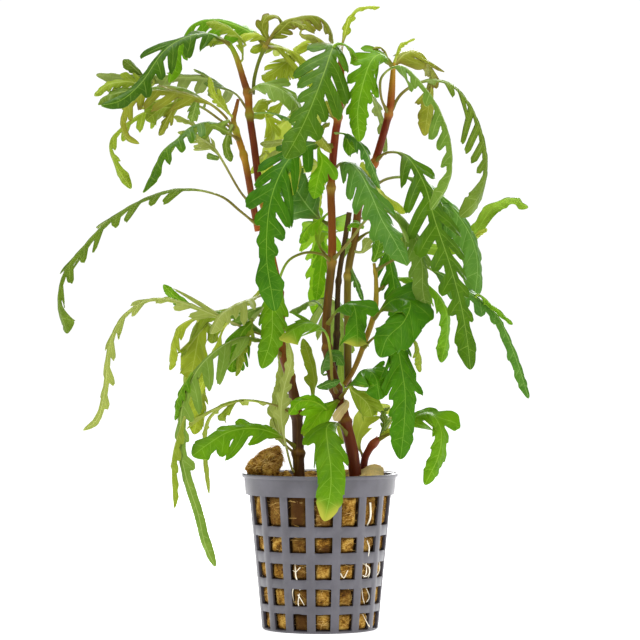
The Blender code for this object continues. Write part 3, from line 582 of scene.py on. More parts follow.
class Bark(FinishSet):
    """The finishes that the stems have, browner low down and redder between the joints above."""

    TRUNK = StemFinish("stem_skin_left_trunk", ((50, "#3B2006"), (131, "#81470F"), (70, "#402507"),
        (84, "#5A300C"), (95, "#713B0C"), (110, "#6C330C"), (124, "#8C5211")), joint="#765217",
        streak="#765A16")
    LEFT_INNER = StemFinish("stem_skin_left_inner", ((134, "#7A3E0D"), (195, "#6A8919"), (139, "#966816"),
        (143, "#966816"), (148, "#652D0A"), (152, "#592007"), (169, "#5A2207"), (171.5, "#797E1D"),
        (175, "#7C4410"), (178, "#895E18"), (180, "#5B280B"), (185, "#71410E"), (189, "#847A19")),
        joint="#886B1F", streak="#76450D")
    LEFT_OUTER = StemFinish("stem_skin_left_outer", ((133, "#8D4812"), (176, "#6A3710"), (139, "#60260A"),
        (150, "#6C320D"), (156, "#966E16"), (159, "#966E16"), (163, "#8C5C17"), (166, "#919622"),
        (170, "#7A5418")), joint="#8E7721", streak="#916816")
    CENTRE = StemFinish("stem_skin_centre", ((50, "#581F07"), (195, "#9B9625"), (65, "#5E2609"),
        (80, "#53290B"), (93, "#57330D"), (110, "#573E11"), (119, "#594412"), (122.5, "#896A1F"),
        (126, "#783E0D"), (144, "#754010"), (147, "#927728"), (150, "#75290B"), (168, "#6F230A"),
        (171, "#A87128"), (173, "#76300B"), (190, "#8C5014")), joint="#826124", streak="#7A4A12")
    RIGHT = StemFinish("stem_skin_right", ((81, "#472F0D"), (189, "#A78123"), (98, "#675E1D"),
        (116, "#746720"), (118, "#B29F3F"), (121, "#655518"), (139, "#66390E"), (150, "#814010"),
        (155.5, "#9A4F14"), (158.5, "#662109"), (170, "#5F1B07"), (172, "#A16926"), (174.5, "#78310B")),
        joint="#826124", streak="#7A6018")
    SHOOT = StemFinish("stem_skin_low_shoot", ((50, "#4F1B0B"), (64, "#7B3817"), (57, "#5D1F0D")),
        joint="#763D19", streak="#752F14")
    OLIVE = StemFinish("stem_skin_olive", ((80, "#6B4813"), (195, "#5F6D1A"), (105, "#8B711E"),
        (146, "#7B771F"), (178, "#4F5815")), joint="#A1872A", streak="#9B8F2D", slot="stem_olive")
    DEAD = StemFinish("stem_bark_old", ((83, "#2E210D"), (139, "#4B3817"), (115, "#3B2B11")),
        joint="#4F3E1C", streak="#5F4C22", roughness=0.75, slot="stem_dead")


# Pot


@dataclass
class NetPot:
    """The injection-moulded basket: ribs, rings, windows, collar and lip.

    Attributes:
        window_rows: Foot and head of each row of windows.
        column_turn: How far the front window column is turned from the front, in degrees.
        rib_rise: How far a rib stands proud of the rings.
    """

    height: float = 52.0
    lip_radius: float = 26.0
    lip_height: float = 1.3
    collar_top_radius: float = 25.3
    collar_foot_radius: float = 24.8
    collar_foot: float = 45.0
    basket_top_radius: float = 23.7
    basket_foot_radius: float = 19.4
    base_radius: float = 18.4
    corner_height: float = 0.8
    wall: float = 1.0
    rib_width: float = 2.85
    rib_count: int = 16
    window_rows: Sequence[Point] = ((35.2, 45.0), (26.6, 31.8), (17.8, 23.0), (9.0, 14.8), (0.8, 6.5))
    column_turn: float = 3.0
    rib_rise: float = 0.22
    rib_steps: tuple[float, ...] = (-1.0, -0.62, 0.0, 0.62, 1.0)
    window_steps: int = 6
    edge_round: float = 0.14
    seam_angle: float = -44.6

    def basket_radius(self, z: float) -> float:
        """Outer radius of the tapered basket at a height."""
        share = (z - self.corner_height) / (self.collar_foot - self.corner_height)
        return self.basket_foot_radius + (self.basket_top_radius - self.basket_foot_radius) * share

    def profile(self) -> list[Point]:
        """Radius and height up the outer skin, from the base over its rounded corner to the lip."""
        corner = self.basket_foot_radius - self.base_radius
        rows = [(self.base_radius + corner * math.sin(turn), self.corner_height * (1 - math.cos(turn)))
                for turn in (0.0, 0.5, 1.05)]
        for low, high in reversed(self.window_rows):
            for z in (low, (low + high) / 2, high):
                rows.append((self.basket_radius(z), z))
        lip_foot = self.height - self.lip_height
        rows += [
            (self.collar_foot_radius, self.collar_foot),
            (self.collar_foot_radius + 0.12, self.collar_foot + 0.9),
            (self.collar_top_radius, lip_foot), (self.lip_radius - 0.15, lip_foot + 0.02),
            (self.lip_radius, lip_foot + 0.3), (self.lip_radius, self.height - 0.3),
            (self.lip_radius - 0.25, self.height),
        ]
        return rows

    def column_angle(self, column: int, radius: float) -> tuple[float, float]:
        """Angle of a grid column, and how high up the rounded rib it is, from 0 at its edge to 1."""
        steps = len(self.rib_steps) - 1
        per_pitch = steps + self.window_steps
        pitch = 2 * math.pi / self.rib_count
        rib, place = divmod(column, per_pitch)
        half_rib = self.rib_width / 2 / radius
        if place <= steps:
            offset = half_rib * self.rib_steps[place]
            crown = 1 - self.rib_steps[place] ** 2
        else:
            offset = half_rib + (pitch - 2 * half_rib) * (place - steps) / self.window_steps
            crown = 0.0
        front = -math.pi / 2 + math.radians(self.column_turn)
        return front + (rib - 0.5) * pitch + offset, crown

    def build(self, material: Material) -> Piece:
        """Wraps the profile round as one sheet, opens its windows, and gives it its wall and soft edges."""
        rows = self.profile()
        steps = len(self.rib_steps) - 1
        per_pitch = steps + self.window_steps
        around = per_pitch * self.rib_count
        bm = bmesh.new()
        bmesh.ops.create_grid(bm, x_segments=around, y_segments=len(rows) - 1, size=1.0)
        cells = {v: (grid_index(v.co.x, around), grid_index(v.co.y, len(rows) - 1)) for v in bm.verts}
        feet = {low for low, high in self.window_rows}
        middles = {(low + high) / 2 for low, high in self.window_rows}
        openings = []
        for face in bm.faces:
            column = min(cells[v][0] for v in face.verts)
            row = min(cells[v][1] for v in face.verts)
            if column % per_pitch >= steps and rows[row][1] in feet | middles:
                openings.append(face)
        seam = math.radians(self.seam_angle) - math.pi / 2
        for vert, (column, row) in cells.items():
            radius, z = rows[row]
            angle, crown = self.column_angle(column % around, radius)
            if self.corner_height <= z <= self.collar_foot and radius < self.collar_foot_radius:
                # Ribs are crowned, and flash leaves the rings' edges a little wavy
                radius += self.rib_rise * crown
                z += 0.0 if crown else 0.2 * noise.noise(Vector((9 * angle, z, 3.0)))
            elif z > self.collar_foot and abs(angle - seam) < math.pi / around:
                radius += 0.12
            vert.co = polar(radius, angle, z) * MM
        bmesh.ops.delete(bm, geom=openings, context="FACES_ONLY")
        bmesh.ops.remove_doubles(bm, verts=bm.verts, dist=1e-6)
        foot = [e for e in bm.edges if e.is_boundary and all(abs(v.co.z) < 1e-7 for v in e.verts)]
        base = bmesh.ops.holes_fill(bm, edges=foot, sides=around)["faces"]
        bmesh.ops.inset_region(bm, faces=base, thickness=4 * MM, use_even_offset=True)
        bmesh.ops.recalc_face_normals(bm, faces=bm.faces)
        pot = finish_piece("net_pot_basket", bm, material, ["net_pot"], sharp=35.0)
        wall = pot.modifiers.new("wall", "SOLIDIFY")
        wall.thickness = self.wall * MM
        wall.offset = -1.0
        wall.use_even_offset = True
        edges = pot.modifiers.new("edges", "BEVEL")
        edges.width = self.edge_round * MM
        edges.segments = 2
        edges.limit_method = "ANGLE"
        edges.angle_limit = math.radians(40)
        return pot


# Rockwool and roots


@dataclass
class Rockwool:
    """The plug of wool that fills the basket, the tuft that stands over the rim, and loose fibres.

    Attributes:
        lumps: Places on the plug's top where wool is pushed up: x, y, rise, width.
        tuft: Centre of the tuft at the rim.
        tuft_reach: The tuft's half-widths.
        tuft_foot: How far down the tuft reaches.
        shadow: How dark the painted shade on the wool is behind the ribs and rings.
        dryness: How far the right of the plug's top has dried pale.
        recess: How far the wool draws in from the basket between its bulges.
        soaks: Patches soaked brown: degrees round from the front, lowest and highest height, and how far.
    """

    pot: NetPot
    gap: float = 0.45
    foot: float = 1.3
    top: float = 48.2
    shoulder: float = 2.0
    around: int = 220
    step: float = 0.7
    lumps: Sequence[Point] = (
        (18.0, 3.0, 6.4, 6.6), (-11.5, -2.0, 4.6, 3.4), (4.0, -8.0, 2.6, 5.0), (9.0, 12.0, 4.2, 6.0),
        (-15.0, 10.0, 3.8, 5.0), (14.5, -9.0, 3.2, 4.5), (-3.0, 15.0, 3.6, 5.0), (-13.0, -10.0, 2.6, 4.0),
        (0.0, 2.0, 3.0, 5.0))
    tuft: Point = (-18.9, -3.0, 53.8)
    tuft_reach: Point = (5.6, 5.6, 6.6)
    tuft_foot: float = 9.0
    soaks: Sequence[Point] = (
        (-19.5, 35.0, 45.0, 1.0), (-19.5, 26.0, 32.0, 0.7), (-19.5, 9.0, 23.0, 0.75), (-19.5, 0.0, 7.0, 0.95),
        (-42.0, 35.0, 45.0, 0.65), (3.0, 35.0, 45.0, 0.6), (48.0, 27.0, 45.0, 0.5), (3.0, 26.0, 28.5, 0.9),
        (48.0, 9.0, 23.0, 0.45))
    side_rings: int = 63
    top_rings: int = 30
    shadow: float = 0.85
    dryness: float = 0.55
    recess: float = 1.3
    fibre_count: int = 1800
    fibre_radius: float = 0.055

    def crumb(self, spot: Vector, size: float) -> float:
        """Uneven relief from -1 to 1 of a wool surface, in lumps of a size with finer ones on them."""
        coarse = noise.noise(spot / size)
        fine = noise.noise(spot / (size * 0.34))
        return coarse * 0.65 + fine * 0.35

    def pressed(self, angle: float, z: float) -> float:
        """How far the wool bulges into the windows, from 0 behind the ribs and rings to 1 in a window."""
        pitch = 2 * math.pi / self.pot.rib_count
        front = -math.pi / 2 + math.radians(self.pot.column_turn)
        place = abs(((angle - front) / pitch + 0.5) % 1 - 0.5)
        across = 1 - smooth_step(place, 0.25, 0.39)
        clear = max(min(z - low, high - z) for low, high in self.pot.window_rows)
        return across * smooth_step(clear, -0.7, 0.9)

    def side(self, angle: float, z: float) -> Vector:
        """A point of the plug's side, seen through the windows."""
        radius = self.pot.basket_radius(z) - self.pot.wall - self.gap
        spot = polar(radius, angle, z)
        drawn_in = self.recess + 0.6 * self.crumb(spot, 3.0) - 1.7 * self.pressed(angle, z)
        radius -= max(-0.6, drawn_in)
        return polar(radius, angle, z)

    def soaked(self, angle: float, z: float) -> float:
        """How far the wool is soaked brown at a place, most in the patches that the front shows."""
        turned = math.degrees(angle + math.pi / 2)
        turned = (turned + 180) % 360 - 180
        wet = 0.5 * smooth_step(noise.noise(Vector((angle * 3, z / 9, 8.0))), 0.0, 0.5)
        for at, low, high, amount in self.soaks:
            inside = smooth_step(z, low - 1.5, low + 0.5) * (1 - smooth_step(z, high - 0.5, high + 1.5))
            wet = max(wet, amount * inside * bell(turned - at, 13.0))
        return wet

    def surface(self, x: float, y: float) -> float:
        """Height of the plug's top at a place."""
        z = self.top + 0.9 * self.crumb(Vector((x, y, 0.0)), 3.4)
        for lump_x, lump_y, rise, width in self.lumps:
            z += rise * bell(math.hypot(x - lump_x, y - lump_y), width)
        return z

    def build_plug(self, material: Material) -> Piece:
        """The plug: its side ring by ring, then its top drawn in ring by ring, closed above and below."""
        bm = bmesh.new()
        # The wet layer keeps painted shade behind the ribs and rings, how soaked the wool is, and how dry it
        # is
        wet = bm.verts.layers.float_vector.new("wet")
        wall = self.top - self.shoulder - self.foot
        rings = [("side", self.foot + wall * i / (self.side_rings - 1)) for i in range(self.side_rings)]
        rings += [("top", 1 - i / self.top_rings) for i in range(1, self.top_rings)]
        bmesh.ops.create_grid(bm, x_segments=self.around, y_segments=len(rings) - 1, size=1.0)
        edge = self.pot.basket_radius(self.top) - self.pot.wall - self.gap - 0.5
        for vert in bm.verts:
            angle = grid_index(vert.co.x, self.around) % self.around * 2 * math.pi / self.around
            kind, value = rings[grid_index(vert.co.y, len(rings) - 1)]
            if kind == "side":
                spot = self.side(angle, value)
                # Painted shade where the ribs and rings cover the wool, then how soaked it is
                vert[wet] = (self.shadow * (1 - self.pressed(angle, value)), self.soaked(angle, value), 0.0)
            else:
                x, y = edge * value * math.cos(angle), edge * value * math.sin(angle)
                spot = Vector((x, y, self.surface(x, y)))
                vert[wet] = (0.0, 0.0, self.dryness * smooth_step(x, 7.0, 13.0))
            vert.co = spot * MM
        close_tubes(bm)
        return finish_piece("rockwool_plug", bm, material, ["rockwool"], sharp=60.0)

    def tuft_point(self, direction: Vector) -> Vector:
        """A point of the tuft's ragged surface in a direction from its centre."""
        reach = Vector((self.tuft_reach[0], self.tuft_reach[1],
                        self.tuft_reach[2] if direction.z > 0 else self.tuft_foot))
        spot = Vector(d * r for d, r in zip(direction, reach))
        moved = spot + Vector((40, 0, 0))
        torn = 0.22 * noise.noise(moved / 3.6) + 0.09 * noise.noise(moved / 1.5)
        crease = 0.16 * bell(noise.noise(moved / 5.0), 0.07)
        point = Vector(self.tuft) + spot * (1 + torn - crease)
        # Its crest is pulled over to the stem side
        point.x += 0.5 * max(0.0, point.z - self.tuft[2]) + 0.16 * max(0.0, self.tuft[2] - point.z)
        return point

    def build_tuft(self, material: Material) -> Piece:
        """The tuft: a ball of wool pulled ragged, its foot sunk in the plug."""
        bm = bmesh.new()
        bmesh.ops.create_icosphere(bm, subdivisions=6, radius=1.0)
        for vert in bm.verts:
            vert.co = self.tuft_point(vert.co.normalized()) * MM
        bmesh.ops.recalc_face_normals(bm, faces=bm.faces)
        return finish_piece("rockwool_tuft", bm, material, sharp=60.0)

    def fibre_spot(self, draw: random.Random) -> tuple[Vector, Vector]:
        """A random place on the wool and the direction out of it there."""
        kind = draw.random()
        if kind < 0.55:
            angle = draw.uniform(-math.pi, math.pi)
            z = draw.uniform(2.5, 44.0)
            return self.side(angle, z), polar(1.0, angle)
        if kind < 0.8:
            radius, angle = 21.0 * math.sqrt(draw.random()), draw.uniform(-math.pi, math.pi)
            x, y = radius * math.cos(angle), radius * math.sin(angle)
            return Vector((x, y, self.surface(x, y))), Vector((0, 0, 1))
        direction = Vector((draw.gauss(0, 1), draw.gauss(0, 1), abs(draw.gauss(0.3, 1)))).normalized()
        return self.tuft_point(direction), direction

    def build_fibres(self, material: Material) -> Piece:
        """Loose fibres that lie on the wool and lift off it a little, drawn some ten times their width."""
        draw = random.Random(3)
        bm = bmesh.new()
        for _ in range(self.fibre_count):
            spot, out = self.fibre_spot(draw)
            heading = Vector((draw.gauss(0, 1), draw.gauss(0, 1), draw.gauss(0, 0.45)))
            heading = (heading - out * heading.dot(out)).normalized()
            length = draw.uniform(1.6, 4.2)
            lift = draw.uniform(-0.1, 0.35)
            turn = draw.uniform(-0.5, 0.5)
            points = []
            for i in range(5):
                share = i / 4 - 0.5
                sideways = out.cross(heading) * (turn * (share * 2) ** 2)
                lifted = out * (lift * (1 - 3 * share * share))
                points.append(tuple(spot + heading * length * share + sideways + lifted))
            route = Route(points)
            wrap_tube(bm, route, route.lengths, 3, lambda along, turn: self.fibre_radius)
        close_tubes(bm)
        return finish_piece("rockwool_fibres", bm, material, sharp=80.0)


@dataclass
class Roots:
    """Thin pale roots that have grown out to the basket's windows.

    Attributes:
        shown: Listed roots, each as its radius and its points: degrees round the pot from the
            front, height, and how far out of the wool it lies.
    """

    wool: Rockwool
    lift: float = 0.35
    shown: Sequence[tuple[float, Sequence[Point]]] = (
        (0.34, ((46, 43, 0.1), (47, 38, 0.4), (46, 33, 0.3), (47.5, 28, 0.5), (46, 22, 0.1))),
        (0.24, ((44, 23, 0.0), (49, 21.5, 0.5), (52, 18, 0.5), (47, 16, 0.6), (44, 12, 0.4), (49, 9.5, 0.1))),
        (0.22, ((51, 24, 0.1), (46, 20, 0.6), (49, 17, 0.4), (53, 12, 0.5), (50, 10, 0.3))),
        (0.20, ((43, 19, 0.2), (47, 18.5, 0.6), (52, 20, 0.3))),
        (0.26, ((-24, 23, 0.1), (-22, 19, 0.5), (-20, 15, 0.4), (-21, 10, 0.5), (-19, 7, 0.1))),
        (0.20, ((-22, 18, 0.3), (-26, 14, 0.6), (-27, 10, 0.3))),
        (0.18, ((-21, 13, 0.4), (-17, 11, 0.6), (-15, 9.5, 0.3))),
        (0.18, ((-18, 22, 0.1), (-22, 20.5, 0.6), (-25, 21, 0.2))),
        (0.26, ((19, 20, 0.1), (22, 18.5, 0.5), (26, 21, 0.3))),
        (0.24, ((52, 7, 0.3), (57, 4, 1.2), (55, 1.8, 1.6), (50, 3.5, 0.9), (48, 6, 0.2))),
    )
    hidden_count: int = 26

    def out_of_wool(self, point: Point) -> Point:
        """Turns degrees round the pot, height and lift to a place."""
        angle = math.radians(point[0]) - math.pi / 2
        spot = self.wool.side(angle, point[1])
        out = polar(1.0, angle)
        return tuple(spot + out * (point[2] + self.lift))

    def build(self, material: Material) -> Piece:
        """The roots that show at the front, and others like them round the sides and back."""
        draw = random.Random(11)
        bm = bmesh.new()
        roots = list(self.shown)
        for _ in range(self.hidden_count):
            angle, z = draw.uniform(70, 290), draw.uniform(14, 42)
            points = [(angle, z, 0.1)]
            for _ in range(draw.randint(3, 5)):
                angle += draw.uniform(-5, 5)
                z -= draw.uniform(1.5, 4.0)
                points.append((angle, max(z, 2.0), draw.uniform(0.1, 0.6)))
            roots.append((draw.uniform(0.16, 0.3), points))
        for radius, points in roots:
            route = Route(rounded_path([self.out_of_wool(p) for p in points], 0.8))
            taper = 0.55 / route.length
            wrap_tube(bm, route, route.lengths, 7,
                      lambda along, turn, radius=radius, taper=taper: radius * (1 - taper * along))
        close_tubes(bm)
        return finish_piece("roots_in_windows", bm, material)


# Stems


@dataclass
class Stem:
    """One stem or branch between forks.

    Attributes:
        node: Its node in the frame.
        bark: Its finish.
        joints: Heights of the swollen joints that leaves and branches grow from.
        points: Places along its middle, each with its radius.
    """

    node: str
    bark: Bark
    joints: Sequence[float]
    points: Sequence[Point]
    sides: int = 22
    ring_step: float = 0.7
    swelling: float = 0.3
    slimming: float = 0.15

    def route(self, step: float = 1.0) -> Route:
        """The stem's middle line."""
        return Route(rounded_path(self.points, step))

    def radius(self, along: float, turn: float, route: Route) -> float:
        """Radius at a length along the stem and an angle round it: joints swell, and four ridges run up."""
        x, y, z, radius = route.values(along)
        grown = sum(bell(z - joint, 1.1) for joint in self.joints)
        scar = sum(bell(z - joint - 1.5, 0.35) for joint in self.joints)
        slim = 1 - self.slimming * smooth_step(z, 60.0, 110.0)
        ridges = slim * (1 + 0.035 * math.cos(4 * turn))
        uneven = 1 + 0.03 * noise.noise(Vector((x, y, z)) / 2.5 + Vector((math.cos(turn), math.sin(turn), 0)))
        return radius * (ridges * uneven * (1 + self.swelling * grown) - 0.1 * scar)

    def build(self) -> Piece:
        """The stem as a closed tube, with the nearness of a joint kept for its finish."""
        route = self.route()
        rings = max(4, round(route.length / self.ring_step))
        stations = [route.length * i / rings for i in range(rings + 1)]
        bm = bmesh.new()
        layer = bm.verts.layers.float_vector.new("joint")

        def note(vert: bmesh.types.BMVert, along: float, turn: float) -> None:
            """Keeps how near the closest joint is."""
            z = route.values(along)[2]
            near = max((bell(z - joint - 0.8, 0.8) for joint in self.joints), default=0.0)
            vert[layer] = (0.6 * near, 0.0, 0.0)

        wrap_tube(bm, route, stations, self.sides, lambda along, turn: self.radius(along, turn, route), note)
        close_tubes(bm)
        return finish_piece(self.node + "_skin", bm, self.bark.material(), [self.node])


STEMS = (
    Stem("stem_left_trunk", Bark.TRUNK, (58.5, 71.5, 84, 97, 112, 131), ((-6, 0.5, 20, 1.9),
         (-7, 0, 51, 1.9), (-7.8, 0, 72, 1.8), (-10, -0.5, 83.5, 1.7), (-13, 0, 95, 1.7),
         (-13.3, 0.5, 109, 1.6), (-16.4, 0.5, 125, 1.6), (-18, 0.5, 131, 1.6))),
    Stem("stem_left_inner", Bark.LEFT_INNER, (141.5, 171.8, 179), ((-18.2, 1.4, 133.6, 1.5),
         (-18.6, 2, 142, 1.5), (-20.2, 2.5, 147, 1.4), (-22, 2.5, 161, 1.4), (-23.6, 2, 171.8, 1.4),
         (-24, 2, 178, 1.5), (-25.3, 1.5, 182.5, 1.3), (-27.8, 0.5, 190.5, 1.1), (-30.3, 0, 195.5, 0.8))),
    Stem("stem_left_outer", Bark.LEFT_OUTER, (157.8, 166.2), ((-20.6, -1.8, 132.6, 1.3),
         (-22.4, -2.6, 142, 1.3), (-23.6, -3, 149, 1.3), (-25.3, -3, 157.5, 1.3), (-27.8, -3, 165.5, 1.2),
         (-28.8, -3.2, 169.5, 1), (-28, -3.2, 173, 0.8), (-27.2, -3.2, 176.5, 0.6))),
    Stem("stem_left_side", Bark.OLIVE, (194,), ((-22.4, 4.3, 178.6, 0.7), (-22, 4.8, 184, 0.7),
         (-20.4, 5, 190, 0.7), (-18.2, 5, 195, 0.9))),
    Stem("stem_centre", Bark.CENTRE, (69, 80, 93.5, 122.4, 147.2, 170.8, 188),
         ((12.5, 0.5, 20, 2), (11.7, 0, 52, 2), (8.3, 0, 69.5, 1.9), (5.3, 0, 80, 1.9),
         (2.4, -0.5, 93.5, 1.7), (2.3, -0.5, 105.5, 1.6), (3.9, -0.5, 122.5, 1.6), (4, -0.5, 135, 1.5),
         (3.7, 0, 147.2, 1.5), (4.9, 0.5, 163, 1.5), (6, 0.5, 170.5, 1.45), (7, 0.5, 180.5, 1.4),
         (7, 0.5, 189, 1.1), (6.7, 0.5, 195, 0.8))),
    Stem("stem_right", Bark.RIGHT, (96, 117.8, 142.5, 155.5, 171.8), ((9.4, 1.9, 80.5, 1.3),
         (9.3, 5, 95.5, 1.4), (9.4, 5.6, 118, 1.4), (11.7, 5.2, 131, 1.5), (13.2, 4.5, 142.5, 1.5),
         (16, 4, 150.5, 1.5), (19.2, 3.5, 158.5, 1.45), (23, 3, 171.8, 1.4), (23.9, 2.5, 178.5, 1.4),
         (24.6, 2, 189, 0.8))),
    Stem("stem_old", Bark.DEAD, (98, 116), ((4.6, 4, 83, 1), (5.6, 3, 98, 1.1),
         (6.2, 2.4, 116, 1), (8.4, 1.6, 130, 1), (9.8, 1.2, 139, 1))),
    Stem("stem_thin", Bark.OLIVE, (95, 105.5, 119), ((8.2, -2.6, 81.5, 0.9),
         (11.3, -2.8, 86.5, 0.9), (14.7, -2, 95, 1), (18.3, -1, 106, 1.1), (18.7, -0.5, 116, 0.8),
         (18, -0.5, 122, 0.6))),
    Stem("stem_low_shoot", Bark.SHOOT, (61.5,), ((15, 5.5, 34, 1.2), (14.6, 4.8, 53, 1.2),
         (16.4, 4, 59.5, 1.2), (19.8, 3, 63.5, 1.1))),
)


# Leaves


class Facing(Enum):
    """The direction that a leaf's upper face looks in."""

    FRONT = (0.0, -1.0, 0.25)
    FRONT_LEFT = (-0.35, -0.85, 0.4)
    FRONT_RIGHT = (0.35, -0.85, 0.4)
    UPWARD = (0.0, -0.45, 0.9)
    BACK = (0.0, 0.95, 0.3)
    BACK_LEFT = (-0.4, 0.75, 0.5)
    BACK_RIGHT = (0.4, 0.75, 0.5)
    OUT_LEFT = (-0.75, -0.6, 0.35)
    OUT_RIGHT = (0.75, -0.6, 0.35)


def in_space(point: Point) -> Point:
    """A leaf's point in the plant's own space, from its place in the front view and its listed depth."""
    x, depth, z = point
    depth *= CROWN_DEPTH
    nearness = 1 + depth / EYE_DISTANCE
    return (x * nearness, depth, EYE_HEIGHT + (z - EYE_HEIGHT) * nearness)


@dataclass
class LobeLine:
    """One side of one line across a blade.

    Attributes:
        width: How far the blade reaches from its midrib.
        plain: How far it reaches before its lobe begins.
        off_vein: How far along the blade this line is from its lobe's vein.
        spread: How far forward this line is turned by its lobe's flare.
        bend: The lobe's own extra fold, lean and droop.
    """

    width: float
    plain: float
    off_vein: float = NO_VEIN
    spread: float = 0.0
    bend: Point = (0.0, 0.0, 0.0)


@dataclass
class Leaf:
    """One pinnately lobed leaf with its petiole.

    Attributes:
        name: The leaf's name, without the word leaf.
        stem: The stem it grows from, without the word stem, or nothing for a sprout.
        points: Places along its midrib as the front view shows them, each with its depth.
        half_width: Greatest reach of its lobes.
        pairs: How many lobes it has on each side.
        petiole: The petiole's share of its length.
        facing: Where its upper face looks.
        foliage: Its finish.
        fill: A lobe's share of the run from one lobe to the next.
        sinus: How much of the blade is left between two lobes.
        fold: How far its lobes are folded down, in degrees.
        droop: How far its lobes hang.
        flare: How much a lobe widens towards its tip.
        tip: Reach of the end lobe, as a share of the other lobes' reach.
        wave: How far its edges go up and down.
        stagger: How far the lobes of one side are ahead of the other's.
        ageing: How yellow its tip is.
        flush: How red its petiole is.
        right: Sizes of the lobes to the right of a walk from foot to tip, where they aren't all alike.
        left: Sizes of the lobes to the left.
        breadth: How much wider the blade is than listed, since its lobes are folded and lean forwards.
        terminal_share: The end lobe's share of the length.
        lobe_lean: How far a lobe leans forwards for each millimetre outwards.
        blade_thickness: Of the blade between its veins.
        rib_depth: How far the midrib stands out below at its foot.
        tooth: Length of one fine tooth along the edge.
        lines_per_lobe: Lines of the mesh across each pair of lobes.
        lines_at_tip: Lines of the mesh across the end lobe.
        run_in: How far before the blade's foot the petiole begins to widen.
        shares: Places of the mesh's points on each line, from the midrib to the edge.
    """

    name: str
    stem: str
    points: Sequence[Point]
    half_width: float
    pairs: int
    petiole: float
    facing: Facing
    foliage: Foliage
    fill: float = 0.72
    sinus: float = 0.24
    fold: float = 16.0
    droop: float = 0.14
    flare: float = 0.25
    tip: float = 0.42
    wave: float = 0.4
    stagger: float = 0.3
    ageing: float = 0.0
    flush: float = 0.95
    right: Sequence[float] = ()
    left: Sequence[float] = ()
    breadth: float = 1.15
    terminal_share: float = 0.24
    lobe_lean: float = 1.0
    blade_thickness: float = 0.28
    rib_depth: float = 0.55
    tooth: float = 1.9
    lines_per_lobe: int = 19
    lines_at_tip: int = 22
    run_in: float = 4.0
    shares: tuple[float, ...] = (0.0, 0.06, 0.14, 0.26, 0.4, 0.55, 0.7, 0.86, 1.0)

    def __post_init__(self) -> None:
        """Works out the midrib's route, the blade's measures and each lobe's own bend."""
        self.route, self.lead = self.find_route()
        self.half = self.half_width * self.breadth
        self.stalk = 0.3 + 0.028 * self.half_width
        run = self.route.length - self.lead
        self.blade_start = self.lead + run * self.petiole
        self.terminal = min((self.terminal_share + 0.4 * max(0.0, self.sinus - 0.4)) * run, 2.2 * self.half)
        self.blade_end = self.route.length - self.terminal
        self.serration = self.foliage.value.serration
        self.pitch = (self.blade_end - self.blade_start) / self.pairs
        draw = random.Random(self.name)
        chosen = {1: self.right or (1,) * self.pairs, -1: self.left or (1,) * self.pairs}
        lobes = [(side, k) for side in (-1, 1) for k in range(self.pairs)]
        self.sizes = {(side, k): chosen[side][k] * draw.uniform(0.84, 1.1) for side, k in lobes}
        self.bends = {lobe: (draw.uniform(-0.25, 0.3), draw.uniform(-0.18, 0.25), draw.uniform(0.0, 0.4))
                      for lobe in lobes}
        self.phase = draw.uniform(0, 6)
        self.shade = draw.uniform(0.0, 0.45)
        self.frames = self.find_frames()

    def find_route(self) -> tuple[Route, float]:
        """The midrib from the middle of its stem to its tip, and how much of it the stem hides."""
        spots = [in_space(p) for p in self.points]
        if not self.stem:
            return Route(rounded_path(spots, 1.0)), 0.0
        trunk = next(s for s in STEMS if s.node == "stem_" + self.stem).route(3.0).points
        height = self.points[0][2]
        above = next((k for k in range(1, len(trunk)) if trunk[k][2] >= height), len(trunk) - 1)
        low, high = trunk[above - 1], trunk[above]
        share = min(1.0, (height - low[2]) / (high[2] - low[2]))
        foot = [a + (b - a) * share for a, b in zip(low, high)]
        return Route(rounded_path([foot[:3], *spots[1:]], 1.0)), foot[3] + 0.35

    def bladed(self, along: float) -> float:
        """How far the petiole has widened to a blade at a length along the midrib, from 0 to 1."""
        return smooth_step(along, self.blade_start - self.run_in, self.blade_start + 2.0)

    def find_frames(self) -> list[tuple[Vector, Vector]]:
        """Ahead and across at every 1.5 mm of the midrib, where a bend turns the upper face outwards."""
        count = max(6, round(self.route.length / 1.5))
        step = self.route.length / count
        face = Vector(self.facing.value).normalized()
        aheads, acrosses = [], []
        for i in range(count + 1):
            along = i * step
            ahead = self.route.ahead(along, 2.0)
            bend = self.route.ahead(along + 5.0, 2.0) - self.route.ahead(along - 5.0, 2.0)
            aheads.append(ahead)
            acrosses.append(ahead.cross(face - bend).normalized())
        for _ in range(4):
            eased = [(acrosses[i - 1] + acrosses[i] * 2 + acrosses[i + 1]).normalized()
                     for i in range(1, count)]
            acrosses = [acrosses[0], *eased, acrosses[-1]]
        return list(zip(aheads, acrosses))

    def axes(self, along: float) -> tuple[Vector, Vector, Vector]:
        """Ahead, across and out of the upper face at a length along the midrib."""
        place = min(max(along / self.route.length, 0.0), 1.0) * (len(self.frames) - 1)
        i = min(int(place), len(self.frames) - 2)
        ahead, across = (a.lerp(b, place - i) for a, b in zip(self.frames[i], self.frames[i + 1]))
        ahead = ahead.normalized()
        across = (across - ahead * across.dot(ahead)).normalized()
        return ahead, across, across.cross(ahead)

    def end_line(self, along: float, side: int) -> LobeLine:
        """One side of the end lobe, which runs out to a point past a few shallow teeth."""
        start = self.blade_start + (self.pairs - side * self.stagger / 2) * self.pitch
        share = min(1.0, (along - start) / (self.route.length - start))
        plain = self.half * (self.sinus + 0.06)
        full = max(self.half * self.tip, plain * 0.9)
        width = plain + (full - plain) * smooth_step(share, 0.02, 0.3)
        width *= (1 - share ** 2.3) ** 0.6
        width *= 1 - 0.16 * max(0.0, math.sin(share * 15 + side)) * (1 - share)
        veins = 2.6
        off = (share * veins % 1 - 0.5) * self.terminal / veins if share < 0.8 else NO_VEIN
        return LobeLine(max(width, 0.1), plain, off)

